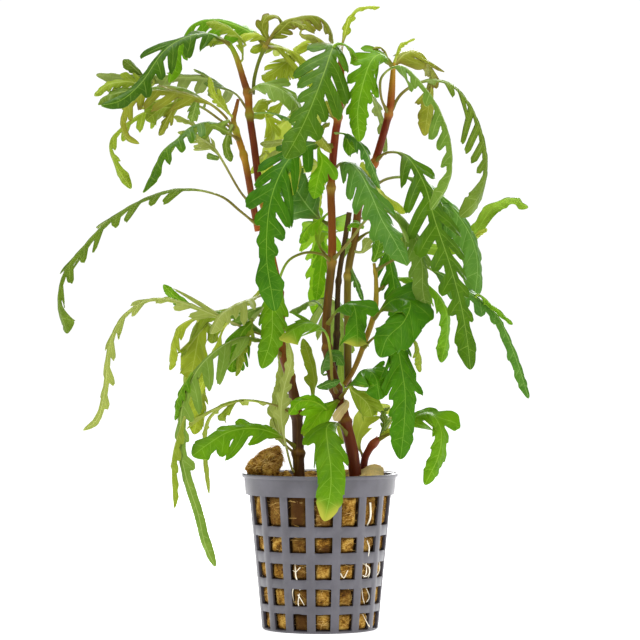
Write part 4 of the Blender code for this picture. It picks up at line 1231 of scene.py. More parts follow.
    def lobe_line(self, along: float, side: int) -> LobeLine:
        """How far one side of the blade reaches on the line that leaves the midrib at a length along it."""
        lobe = (along - self.blade_start) / self.pitch + side * self.stagger / 2
        k = math.floor(lobe)
        if k < 0:
            grown = smooth_step(along, self.blade_start - self.run_in, self.blade_start + 0.5)
            plain = self.stalk + max(0.0, self.half * self.sinus - self.stalk) * grown
            return LobeLine(plain, plain)
        if k >= self.pairs:
            return self.end_line(along, side)
        share = (k + 0.5) / self.pairs
        plain = self.half * (self.sinus + 0.08 * (share - 0.4))
        # Lobes are longest in the middle of the blade
        full = self.half * (0.6 + 0.4 * math.sin(math.pi * min(1.0, share * 1.2 + 0.15)))
        full *= self.sizes[side, k]
        off = (lobe - k - 0.5) * self.pitch
        # The lobe is a strip with a half-round end, square to a vein that leaves the midrib at a slant
        slant = math.hypot(1.0, self.lobe_lean)
        half_strip = self.fill * self.pitch / 2
        spread = min(1.0, abs(off) / half_strip)
        end = min(half_strip / slant, 0.7 * full) * (1 - math.sqrt(1 - spread ** 2))
        teeth = self.serration * math.sin(2 * math.pi * along / self.tooth + side + self.phase)
        width = full - end - off * self.lobe_lean / slant ** 2 + full * teeth if spread < 1 else plain
        return LobeLine(max(plain, width), plain, off, self.flare * off, self.bends[side, k])

    def lines(self) -> list[float]:
        """Lengths along the midrib of the lines across the leaf."""
        stalk = max(3, round(self.blade_start / 1.1))
        blade = self.pairs * self.lines_per_lobe
        found = [self.blade_start * i / stalk for i in range(stalk)]
        found += [self.blade_start + (self.blade_end - self.blade_start) * i / blade for i in range(blade)]
        tip = self.lines_at_tip
        found += [self.blade_end + self.terminal * math.sin(math.pi / 2 * i / tip) for i in range(tip + 1)]
        return found

    def spot(self, along: float, side: int, share: float, line: LobeLine) -> tuple[Vector, Vector]:
        """Upper and lower surface points of the leaf.

        Args:
            along: Length along the midrib at which the point's line leaves it.
            side: Which side of the midrib, -1 or 1.
            share: How far out on that line, from 0 to 1.
            line: The line's own measures.

        Returns:
            The two points, in millimetres.
        """
        ahead, across, out = self.axes(along)
        centre = self.route.at(along)
        turn = share * 1.45
        stalk_half = self.stalk * (1.7 - 0.7 * smooth_step(along, self.lead, self.lead + 3.5))
        wide = across * (side * stalk_half * math.sin(turn))
        stalk_top = centre + wide + out * (stalk_half * (0.8 * math.cos(turn) - 0.25 * bell(share, 0.4)))
        stalk_foot = centre + wide - out * (stalk_half * math.cos(turn))
        bladed = self.bladed(along)
        if bladed == 0.0:
            return stalk_top, stalk_foot
        width = line.width * share
        past = max(0.0, width - line.plain * 0.8)
        lobed = smooth_step(past, 0.0, 0.5 * self.half)
        extra, lean, hang = line.bend
        ending = 1 - smooth_step(along, self.blade_end, self.route.length)
        forward = (self.lobe_lean * width * (0.85 + 0.25 * width / self.half) + lean * past) * ending
        forward += line.spread * lobed
        angle = math.radians(self.fold) * smooth_step(width, -0.4, 0.35 * self.half) + extra * lobed
        angle += 0.25 * width / self.half
        ripple = self.wave * (width / self.half) * math.sin(along * 1.1 + side * 0.9 + self.phase)
        quilt = 0.16 * bell(line.off_vein, 0.7) * smooth_step(width, 0.2, 1.2)
        rib = max(0.0, 1 - along / self.route.length) ** 0.7
        groove = 0.14 * rib * bell(width, 0.45)
        weight = self.droop * (1 + 2 * hang) * width * width / (width + 2.5)
        top = centre + across * (side * width * math.cos(angle)) + ahead * forward
        top += out * (0.12 + ripple - width * math.sin(angle) - quilt - groove) - Vector((0, 0, weight))
        thick = self.blade_thickness + self.rib_depth * rib * bell(width, 0.55) + 0.5 * quilt
        foot = top - out * thick
        return stalk_top.lerp(top, bladed), stalk_foot.lerp(foot, bladed)

    def build(self) -> Piece:
        """The leaf: a grid raised to a slab, then laid along its midrib line by line."""
        lines = self.lines()
        columns = [-s for s in reversed(self.shares[1:])] + list(self.shares)
        bm = bmesh.new()
        layers = bm.verts.layers.float_vector
        vein_of, spot_of, tint_of = (layers.new(key) for key in ("vein", "spot", "tint"))
        bmesh.ops.create_grid(bm, x_segments=len(lines) - 1, y_segments=len(columns) - 1, size=1.0)
        made = bmesh.ops.extrude_face_region(bm, geom=bm.faces[:], use_keep_orig=True)["geom"]
        lower = {item for item in made if isinstance(item, bmesh.types.BMVert)}
        edges = [{side: self.lobe_line(along, side) for side in (-1, 1)} for along in lines]
        for vert in bm.verts:
            row = grid_index(vert.co.x, len(lines) - 1)
            place = columns[grid_index(vert.co.y, len(columns) - 1)]
            along, under = lines[row], vert in lower
            side = -1 if place < 0 else 1
            line = edges[row][side]
            vert.co = self.spot(along, side, abs(place), line)[under] * MM
            stretch = along / self.route.length
            bladed = self.bladed(along)
            width = line.width * abs(place)
            vert[vein_of] = (width / (1.0 - 0.65 * stretch) * bladed, line.off_vein, width)
            vert[spot_of] = (stretch, abs(place) * bladed, under)
            aged = self.ageing * smooth_step(stretch + 0.1 * abs(place), 0.88, 1.04)
            red = self.flush * (1 - smooth_step(stretch, 0.4 * self.blade_start / self.route.length,
                                                self.blade_start / self.route.length + 0.05))
            vert[tint_of] = (aged, red * (0.8 + 0.2 * under), self.shade)
        bmesh.ops.recalc_face_normals(bm, faces=bm.faces)
        nodes = ["leaf_" + self.name] if self.stem else []
        return finish_piece(self.name + "_blade", bm, self.foliage.material(), nodes)


@dataclass
class Perches:
    """The stems, leaves and earlier sprouts that a sprout can start from.

    Attributes:
        spots: Places along them, as the front view shows them, each with its depth.
        step: How far apart the places lie.
        touching: How far from its perch a sprout may be listed and still be taken to start on it.
        sideways_weight: How much a millimetre across the view counts when the nearest place is sought.
        depth_weight: How much a millimetre of depth counts.
    """

    spots: list[Point] = field(default_factory=list)
    step: float = 0.5
    touching: float = 1.2
    sideways_weight: float = 1.6
    depth_weight: float = 0.6

    def add(self, points: Sequence[Point]) -> None:
        """Adds the places along a line through a few points."""
        for here, after in zip(points, points[1:]):
            parts = max(2, int(math.dist(here, after) / self.step))
            self.spots += [tuple(a + (b - a) * k / parts for a, b in zip(here, after)) for k in range(parts)]
        self.spots.append(tuple(points[-1]))

    def cost(self, spot: Point, start: Point) -> float:
        """How far a place is from a sprout's listed start."""
        across = math.hypot(spot[0] - start[0], spot[2] - start[2])
        return self.sideways_weight * across + self.depth_weight * CROWN_DEPTH * abs(spot[1] - start[1])

    def root(self, leaf: Leaf) -> Leaf:
        """Starts a sprout on its nearest perch and eases its first points to the depth of it.

        Args:
            leaf: The sprout as it is listed, its depths guessed.

        Returns:
            The sprout with a foot on its perch, and with the petiole longer by what was added.
        """
        start = leaf.points[0]
        foot = min(self.spots, key=lambda spot: self.cost(spot, start))
        joined = math.hypot(foot[0] - start[0], foot[2] - start[2]) <= self.touching
        eased = ((1.0, 0.45, 0.15) if joined else (0.6, 0.3, 0.1)) + (0.0,) * len(leaf.points)
        shift = foot[1] - start[1]
        points = [(x, depth + shift * share, z) for (x, depth, z), share in zip(leaf.points, eased)]
        petiole = leaf.petiole
        if not joined:
            points.insert(0, foot)
            spread = [(x, depth * CROWN_DEPTH, z) for x, depth, z in points]
            steps = [math.dist(here, after) for here, after in zip(spread, spread[1:])]
            petiole = (steps[0] + petiole * sum(steps[1:])) / sum(steps)
        self.add(points)
        return replace(leaf, points=points, petiole=petiole)


def rooted_sprouts() -> list[Leaf]:
    """Every sprout on its perch, each of which the next ones can start from too."""
    perches = Perches()
    for stem in STEMS:
        perches.add([(x, y / CROWN_DEPTH, z) for x, y, z, radius in stem.points])
    for leaf in LEAVES:
        perches.add(leaf.points)
    return [perches.root(leaf) for leaf in SPROUTS]


def sprout(name: str, text: str, foliage: Foliage, half_width: float, pairs: int, petiole: float,
           sinus: float, facing: Facing = Facing.FRONT, **looks: float) -> Leaf:
    """A young leaf or leaflet past the part's nodes, with fewer lines across it and hardly any flush."""
    return Leaf("sprout_" + name, "", places(text), half_width, pairs, petiole, facing, foliage, sinus=sinus,
                flush=0.12, lines_per_lobe=10, lines_at_tip=14, shares=(0.0, 0.12, 0.3, 0.5, 0.7, 0.87, 1.0),
                **looks)


def places(text: str) -> tuple[Point, ...]:
    """Places in the front view, each written as its x, its depth and its z, with commas between them."""
    return tuple(tuple(float(value) for value in place.split()) for place in text.split(","))


GREEN, DEEP, DARK, GLAUCOUS, SAGE, YELLOW, PALE, OLIVE, LIME, MOSS, BACKLIT, HUSK = Foliage
FRONT, FRONT_LEFT, FRONT_RIGHT, UPWARD, BACK, BACK_LEFT, BACK_RIGHT, OUT_LEFT, OUT_RIGHT = Facing


LEAVES = (
    Leaf("left_crown_front", "left_inner", places("-30 0 195, -37 -5 198.6, -46 -11 196.8, -52.7 -15 192, "
        "-59.3 -19 182.5, -66 -22 176.5, -73 -24 174.5"), 6.6, 5, 0.06, FRONT_LEFT, DARK, fill=0.6,
        droop=0.16, tip=0.34, right=(0.9, 1.2, 1.25, 1.1, 0.8), left=(0.9, 0.8, 1.1, 1.1, 0.8)),
    Leaf("left_crown_back", "left_side", places("-18.2 5 195, -23.7 7 199.2, -30 9 202, -36.3 11 203.2, "
        "-42.7 12.5 201.3, -47 13.5 193.8, -50.3 14 182.2"), 5.6, 5, 0.1, FRONT_LEFT, GREEN, fill=0.7,
        sinus=0.22, fold=24, droop=0.22, tip=0.5),
    Leaf("left_upper_olive", "left_outer", places("-27.8 -3 165.5, -33 -5.5 172.3, -40.3 -8 176.8, "
        "-53.7 -12 179.6, -61.5 -15 177.6, -66 -16.5 171, -65 -17.5 164.5, -60.3 -18 161.8"), 5.8, 5, 0.25,
        FRONT_LEFT, OLIVE, fill=0.6, fold=24, tip=0.24),
    Leaf("left_upper_pale", "left_outer", places("-27.8 -3 165.5, -33 2 169.5, -41 6 174.6, -50.7 9 175.2, "
        "-58 12 172.6, -65 14 168.2, -70 15 162.5, -68.7 16 155.8, -63 17 146.8"), 4.4, 6, 0.3, FRONT_LEFT,
        LIME, fill=0.56, fold=25, droop=0.25, tip=0.5),
    Leaf("left_upper_long", "left_inner", places("-23.6 2 171.8, -27.5 8 178, -32 13 180.8, -37 18 183.8, "
        "-46.7 22 184.2, -60 25 183.5, -74.7 27 184.8"), 5.4, 6, 0.2, BACK_LEFT, MOSS, fill=0.6, fold=22,
        droop=0.2),
    Leaf("left_middle_front", "left_outer", places("-27 -3 163, -31 -8.5 165.6, -37 -15 169, "
        "-43.1 -21 167.5, -47.8 -25 163.2, -52.5 -28 158.8, -59 -31 145.5"), 5.8, 6, 0.15, OUT_LEFT, DARK,
        fill=0.62, sinus=0.22, fold=26, droop=0.18, tip=0.44, right=(0.3, 0.7, 0.9, 1.1, 1.1, 0.9),
        left=(0.9, 0.6, 1, 1, 1, 1)),
    Leaf("left_small_back", "left_outer", places("-22.4 -2.6 141, -26.7 0.5 146, -33.7 3 158, "
        "-37.5 4 161.8, -43 5 165.4, -47.5 6 165.6"), 3.8, 3, 0.6, FRONT_LEFT, PALE, fill=0.6, droop=0.2),
    Leaf("left_long_arch", "left_outer", places("-21 -2.2 134.5, -26.7 -5 139.4, -33.7 -7.5 144.6, "
        "-45.7 -11 146.8, -57.3 -14 144, -69.7 -17 136.8, -78.3 -19 128, -85.2 -20 119, -87.2 -20.5 109.2, "
        "-84.2 -21 98.5"), 5.4, 8, 0.26, OUT_LEFT, MOSS, fill=0.52, sinus=0.2, droop=0.16, tip=0.8,
        lobe_lean=1.4, right=(0.1, 0.3, 0.9, 1.1, 1.7, 1, 1, 1.1), left=(0.9, 0.5, 0.9, 0.5, 1, 0.8, 1, 1.1)),
    Leaf("left_low_arch", "left_trunk", places("-13 0 96.5, -22 -3 99, -33.7 -7 104, -48.3 -12 109.4, "
        "-58 -15 109.4, -66 -18 103.6, -70.3 -20 94, -71.5 -21 81.5, -74 -22 70.5, -79 -23 66.2"), 4, 8, 0.2,
        FRONT_LEFT, PALE, fill=0.62, sinus=0.18, fold=20, droop=0.12, tip=0.3, lobe_lean=1.9,
        right=(1.7, 0.4, 0.3, 0.5, 0.6, 0.8, 0.8, 0.5), left=(0.9, 0.5, 0.3, 0.5, 0.8, 0.9, 0.9, 0.6)),
    Leaf("left_low_yellow", "left_trunk", places("-13.3 0.4 101.5, -22 7 105, -33 12 105.6, -41 15 102.2, "
        "-43.7 17 90.8, -43 18 70.2"), 7.6, 5, 0.25, FRONT_LEFT, LIME, fill=0.66, sinus=0.3, fold=18,
        tip=0.5, terminal_share=0.15, right=(0.5, 0.8, 1.1, 1, 0.9), left=(1, 1.1, 1, 1, 0.9)),
    Leaf("left_low_long", "left_trunk", places("-11.8 -0.2 90.5, -19 -5 96, -26.3 -9 97.2, -35 -14 92.5, "
        "-41.7 -18 85, -45.8 -21 74.5, -46.6 -24 61.5, -44.6 -27 50.5, -40.7 -29 38.5, -38.4 -29.5 28.5, "
        "-34.9 -30 20.6"), 5.8, 9, 0.1, FRONT_LEFT, SAGE, fill=0.62, fold=30, droop=0.2, tip=0.34,
        right=(0.4, 0.8, 1, 1, 0.9, 0.7, 0.3, 0.3, 0.2), left=(1.6, 1.5, 1.2, 1, 0.6, 0.5, 0.9, 0.3, 0.2)),
    Leaf("left_base_front", "left_trunk", places("-7.3 0 60, -14 -5 64.6, -21.7 -10 66.8, -30 -15 65.8, "
        "-37 -19 61.8, -42.5 -22 57.6"), 7.4, 3, 0.2, FRONT, GREEN, fill=0.78, sinus=0.3, fold=10, droop=0.1,
        tip=0.5, right=(0.3, 0.6, 0.7), left=(0.7, 1.15, 1.1)),
    Leaf("left_base_back", "left_trunk", places("-7.8 0 71, -15 5 74.6, -24 10 76.4, -31.5 14 75, "
        "-37.4 17 69.5, -38.6 19 60, -37 21 45"), 4.2, 6, 0.2, BACK_LEFT, LIME, fill=0.8, sinus=0.14,
        tip=0.16, right=(0.2, 0.4, 0.2, 0.1, 0.1, 0.1), left=(0.2, 1.9, 0.3, 0.1, 0.1, 0.1)),
    Leaf("left_inner_grey", "left_inner", places("-24 2 178.5, -20.5 -2 181.6, -14.5 -4.5 180.6, "
        "-9 -5.5 176.6, -6.8 -5.5 170.5"), 6, 3, 0.1, UPWARD, SAGE, fill=0.86, sinus=0.56, fold=12, tip=0.62),
    Leaf("left_side_right", "left_side", places("-18.2 5 194.5, -12.5 9 194, -6.5 12.5 191, "
        "-2.5 14.5 185.5, -1 16 180"), 6.4, 4, 0.12, FRONT, YELLOW, fill=0.56, fold=20, droop=0.26),
    Leaf("left_side_top", "left_side", places("-18.2 5 195.2, -13.7 3.5 201.5, -7.7 4 204, -0.7 6 204.3, "
        "3.7 8 199.8, 4.7 9.5 192.2"), 5.2, 4, 0.12, UPWARD, OLIVE, fill=0.62, sinus=0.3, fold=24,
        droop=0.24),
    Leaf("left_inner_low", "centre", places("3.9 -0.5 122.5, 0.3 -4.5 125, -5.7 -7 125.3, -11.7 -8 121.2, "
        "-15.5 -8 108.5, -16.2 -8.5 97.5, -19.4 -9 86.8"), 5.6, 3, 0.5, FRONT, GREEN, fill=0.86, sinus=0.6,
        fold=12, tip=0.62),
    Leaf("left_base_pale", "left_trunk", places("-7.2 0 57.5, -12.5 5 63, -14.5 8 74, -12 10 86, "
        "-11.3 11 96"), 4.4, 3, 0.3, FRONT, PALE, fill=0.66, sinus=0.44, tip=0.6),
    Leaf("left_low_grey", "left_trunk", places("-13.6 0.5 112, -21.3 -3 110.8, -27.3 -10 108.5, "
        "-33 -16 104.5, -36.3 -20 98.5"), 4.6, 4, 0.2, FRONT_LEFT, PALE, fill=0.7, sinus=0.4, fold=24,
        tip=0.5),
    Leaf("centre_front", "centre", places("4.8 0.4 161, -2.5 -6 161.6, -9.7 -12 157.4, -14.5 -16 149, "
        "-17.2 -18 138.5, -17.8 -19 124, -16.2 -19 112.5, -15 -18 106"), 8.8, 6, 0.1, FRONT, DEEP, fill=0.74,
        sinus=0.22, fold=10, droop=0.05, tip=0.5, lobe_lean=0.85, right=(1, 1, 1, 0.95, 0.8, 0.55),
        left=(1, 1.1, 1.15, 1.1, 1, 0.6)),
    Leaf("centre_crown", "centre", places("6.7 0.5 194.5, 4.4 -6 194, 1.4 -12 185.5, -2.4 -17 175.5, "
        "-6.4 -20.5 166.5, -11.6 -23 157"), 9.2, 5, 0.04, FRONT, DARK, fill=0.76, flare=0.4, fold=14,
        droop=0.12, tip=0.46, lobe_lean=0.7),
    Leaf("centre_crown_shoot", "centre", places("6.8 0.5 192.5, 8.6 2.5 199.5, 10.2 4 204.5, 14 5 207.4, "
        "20 5.5 207.4"), 1.8, 3, 0.2, FRONT_RIGHT, YELLOW, fill=0.6, sinus=0.5),
    Leaf("centre_right_front", "centre", places("4 0 153, 8.5 -6 156, 13 -11 152.5, 17.2 -15 144.5, "
        "20.6 -18 136.5, 25 -21 129, 28.9 -23 121.5"), 7.4, 5, 0.12, FRONT_RIGHT, GLAUCOUS, fill=0.84,
        sinus=0.4, fold=18, tip=0.5),
    Leaf("centre_right_arch", "centre", places("3.9 -0.5 122.5, 10 -5 129.5, 17 -7.5 138, 24 -8 139.5, "
        "30.5 -8.5 133, 33.8 -9 123, 34.4 -9.5 112, 36.8 -10 103"), 6.6, 4, 0.4, FRONT_RIGHT, SAGE, fill=0.8,
        sinus=0.42, fold=20),
    Leaf("rim_front", "centre", places("9.4 0 64, 6 -5.3 68.4, 2.4 -10 67.4, 2.6 -15.7 61, 3.6 -19.2 53.5, "
        "3.4 -20.2 45.5, 1.5 -19.8 35.9"), 6.6, 3, 0.2, FRONT, GREEN, fill=0.86, sinus=0.6, fold=8, tip=0.66,
        ageing=0.8),
    Leaf("base_yellow", "centre", places("8 0 76.2, 5 -3 75.5, 0.3 -4.5 72.2, -5 -6 63.8"), 5.4, 2, 0.2,
        UPWARD, BACKLIT, fill=0.9, sinus=0.8, fold=8, tip=0.6, ageing=0.3),
    Leaf("base_bright", "centre", places("6.6 0 76.5, 10.5 -7 82, 14.5 -11 86.5, 18.4 -13.5 84, "
        "19.9 -15 76.4"), 6.8, 2, 0.35, UPWARD, DEEP, fill=0.9, sinus=0.7, fold=14, tip=0.7),
    Leaf("centre_broad", "centre", places("6 0 78, 4 -5 83.5, 3.6 -8 92, 1.6 -10.5 99.5, -4.5 -13 101.8, "
        "-13.5 -14.5 96.5"), 7.2, 2, 0.6, UPWARD, GREEN, fill=0.84, sinus=0.56, fold=12, tip=0.75,
        ageing=0.6),
    Leaf("centre_round", "centre", places("2.3 -0.5 101, 6.5 -6 107, 11 -9 108, 12.3 -10.5 101, 12.4 -11 94"),
        6.8, 2, 0.3, FRONT_RIGHT, DEEP, fill=0.8, sinus=0.5, fold=14, tip=0.8, ageing=0.7),
    Leaf("centre_back_pale", "centre", places("3.8 0 134, -2 5 138.6, -7.5 8.5 146, -10.5 11.5 153, "
        "-13 14.5 155"), 6.6, 3, 0.25, FRONT, GLAUCOUS, fill=0.9, sinus=0.72, fold=12, tip=0.75),
    Leaf("centre_back_bright", "centre", places("3.7 0 147.2, 1.5 8 153, -0.5 15 154.5, -1.5 20.5 148.5, "
        "-1 23.5 138.5"), 5, 3, 0.15, BACK, YELLOW, fill=0.64, sinus=0.34, fold=14),
    Leaf("centre_back_middle", "centre", places("3.9 -0.5 122.5, -0.5 8 128.5, 1 16 136.2, -0.3 24 127.8, "
        "-0.7 29 118.8, -1.7 32 104.2"), 7, 5, 0.2, BACK, BACKLIT, fill=0.66, sinus=0.3, fold=12),
    Leaf("centre_back_low", "centre", places("2.3 -0.5 105, 3 10 110, 3 19 110.5, 4.5 27 104, 6.5 33 92, "
        "8 36 78"), 7.4, 5, 0.22, BACK, DARK, fill=0.8, sinus=0.4),
    Leaf("centre_back_upper_left", "centre", places("6 0.5 170, 1 8 172, -6 15 172.5, -12.5 21 168.5, "
        "-17 26 160, -19 29 150"), 6.4, 5, 0.2, BACK_LEFT, YELLOW, sinus=0.36),
    Leaf("centre_back_upper_right", "centre", places("6 0.5 170.5, 9.5 8 176.5, 14 17 180, 18 25 177, "
        "21 31 168, 22 34 158"), 2.8, 5, 0.26, BACK_RIGHT, MOSS, fill=0.7, sinus=0.3),
    Leaf("right_crown_front", "right", places("24.4 2 187.5, 21 -3 191.6, 17.2 -6 189.6, 14.4 -8 182, "
        "12.6 -9.5 172.5, 13.2 -11 162.5"), 6, 5, 0.06, FRONT, GREEN, fill=0.8, sinus=0.42, fold=12),
    Leaf("right_crown_olive", "right", places("24.5 2 188, 28.8 6.5 192, 34 10.5 192, 37.4 13.5 185.5, "
        "36.4 15.5 175.5, 34.8 16.5 164.4"), 7.2, 5, 0.06, FRONT_RIGHT, OLIVE, fill=0.76, sinus=0.3, tip=0.4,
        ageing=0.3),
    Leaf("right_over_stem", "right", places("23 3 171.8, 20.4 -1.5 177.5, 20.8 -5.5 184.5, 27.5 -9 187.8, "
        "36.3 -12.5 178.8, 41.2 -14.5 169.8, 43.7 -16 160.2, 43 -17.5 149.5, 37 -18.5 139.8"), 6, 6, 0.26,
        OUT_RIGHT, SAGE, fill=0.6, sinus=0.22, fold=30, droop=0.16, tip=0.5, lobe_lean=0.9,
        right=(1.3, 0.4, 0.5, 1.2, 1.2, 1.1), left=(0.2, 0.2, 0.2, 0.3, 0.3, 0.3)),
    Leaf("right_arch", "right", places("23 3 171.8, 27.5 2 178.8, 35 1.5 182.8, 43.5 1 181.8, 50 0.5 174.6, "
        "54.2 0 163.5, 55.4 0 152.5, 52.5 -0.5 143.5, 46.7 -1 137.5"), 8.4, 7, 0.2, OUT_RIGHT, MOSS,
        fill=0.52, sinus=0.14, fold=10, droop=0.1, tip=0.56, lobe_lean=0.9,
        right=(0.3, 0.45, 0.9, 1.1, 1.15, 1.05, 0.95), left=(0.15, 0.15, 0.15, 0.15, 0.15, 0.15, 0.2)),
    Leaf("right_far_tip", "right", places("12.4 4.8 137.5, 19.5 13 135.5, 31 19.5 129.5, 42 24 127, "
        "51.3 26 131.5, 57 27 140, 64 28 143.6, 69.4 28.5 140.4"), 3.6, 5, 0.3, BACK_RIGHT, GREEN, fill=0.84,
        sinus=0.6, tip=0.7, right=(0.1, 0.1, 0.4, 1, 0.9), left=(0.1, 0.1, 0.3, 0.8, 0.8)),
    Leaf("right_long", "right", places("18.2 3.8 156, 22.5 -1 159, 29 -5.5 157.5, 34.7 -9 148.5, "
        "38.4 -11.5 136, 43 -13.5 122.5, 46.8 -15 109, 49 -16 97, 50.2 -17 86.4"), 8.2, 7, 0.14, FRONT_RIGHT,
        DARK, fill=0.66, sinus=0.2, fold=12, tip=0.46, terminal_share=0.19, lobe_lean=0.85,
        right=(1, 1, 1, 1, 1, 0.95, 0.85), left=(1, 1, 1, 1, 1, 0.95, 0.85)),
    Leaf("right_inner", "right", places("11.7 5.2 129, 17 4 132.5, 21.5 3.2 129, 23.8 2.8 120, "
        "25.4 2.2 110, 27 1.6 101.5"), 5.2, 4, 0.2, FRONT_RIGHT, DEEP, fill=0.64, sinus=0.28, tip=0.62),
    Leaf("right_back_broad", "right", places("13.2 4.5 142.5, 22 6.5 150, 33 8.5 149.5, 43 10 141.5, "
        "50 11.5 131.5, 52.5 12.5 121.5, 51.5 13 110"), 8.2, 5, 0.3, FRONT_RIGHT, GLAUCOUS, fill=0.9,
        sinus=0.62, fold=20, tip=0.6),
    Leaf("thin_curled", "thin", places("17.4 -1.3 103, 24 -7 109.5, 30 -12 109, 28 -17 102.5, 22.5 -19 97, "
        "20.2 -19.5 90.5"), 6.8, 3, 0.15, FRONT, DEEP, fill=0.9, sinus=0.76, fold=10, tip=0.8),
    Leaf("thin_hanging", "thin", places("14 -2.2 93.5, 19.5 -7 98, 25 -10.5 95.5, 27 -13 88, 28.4 -14.5 78, "
        "28 -16 67.5, 26.8 -17 56.5"), 7.2, 5, 0.2, FRONT_RIGHT, DEEP, fill=0.84, sinus=0.5, fold=10,
        droop=0.1, tip=0.56),
    Leaf("thin_back_pale", "thin", places("18.6 -0.6 112.5, 26 7.6 117, 35 11 115.5, 41.5 12 107.5, "
        "42.4 14 98.5, 40.4 15 88.8"), 5, 4, 0.25, FRONT_RIGHT, GREEN, fill=0.8, sinus=0.46, tip=0.6),
    Leaf("thin_far_right", "thin", places("18.3 -0.5 119.5, 27 -3.5 123.5, 38 -4.5 119.5, 49 -3 112.6, "
        "58.5 -2.5 105, 64.5 -2.5 92.5, 69.6 -2.5 76.8"), 4.6, 6, 0.3, FRONT_RIGHT, GLAUCOUS, fill=0.74,
        sinus=0.34, fold=22, right=(1.1, 0.9, 0.7, 0.6, 0.6, 0.6), left=(0.9, 0.8, 0.6, 0.6, 0.6, 0.6)),
    Leaf("shoot_right", "low_shoot", places("19 3.2 62.8, 25 -1 66, 31.5 -4.5 70.5, 37 -7 71.6, 40.4 -9 66, "
        "39.4 -10.5 57.5, 35 -12 48"), 5.6, 4, 0.25, FRONT_RIGHT, GREEN, fill=0.8, sinus=0.44, fold=14,
        tip=0.5),
    Leaf("base_right_yellow", "low_shoot", places("15.2 4.4 56, 12.5 9 63, 15 12 71, 19.5 14.5 75, 24 17 72"),
        5, 3, 0.2, BACK_RIGHT, YELLOW, fill=0.84, sinus=0.5, tip=0.6),
)

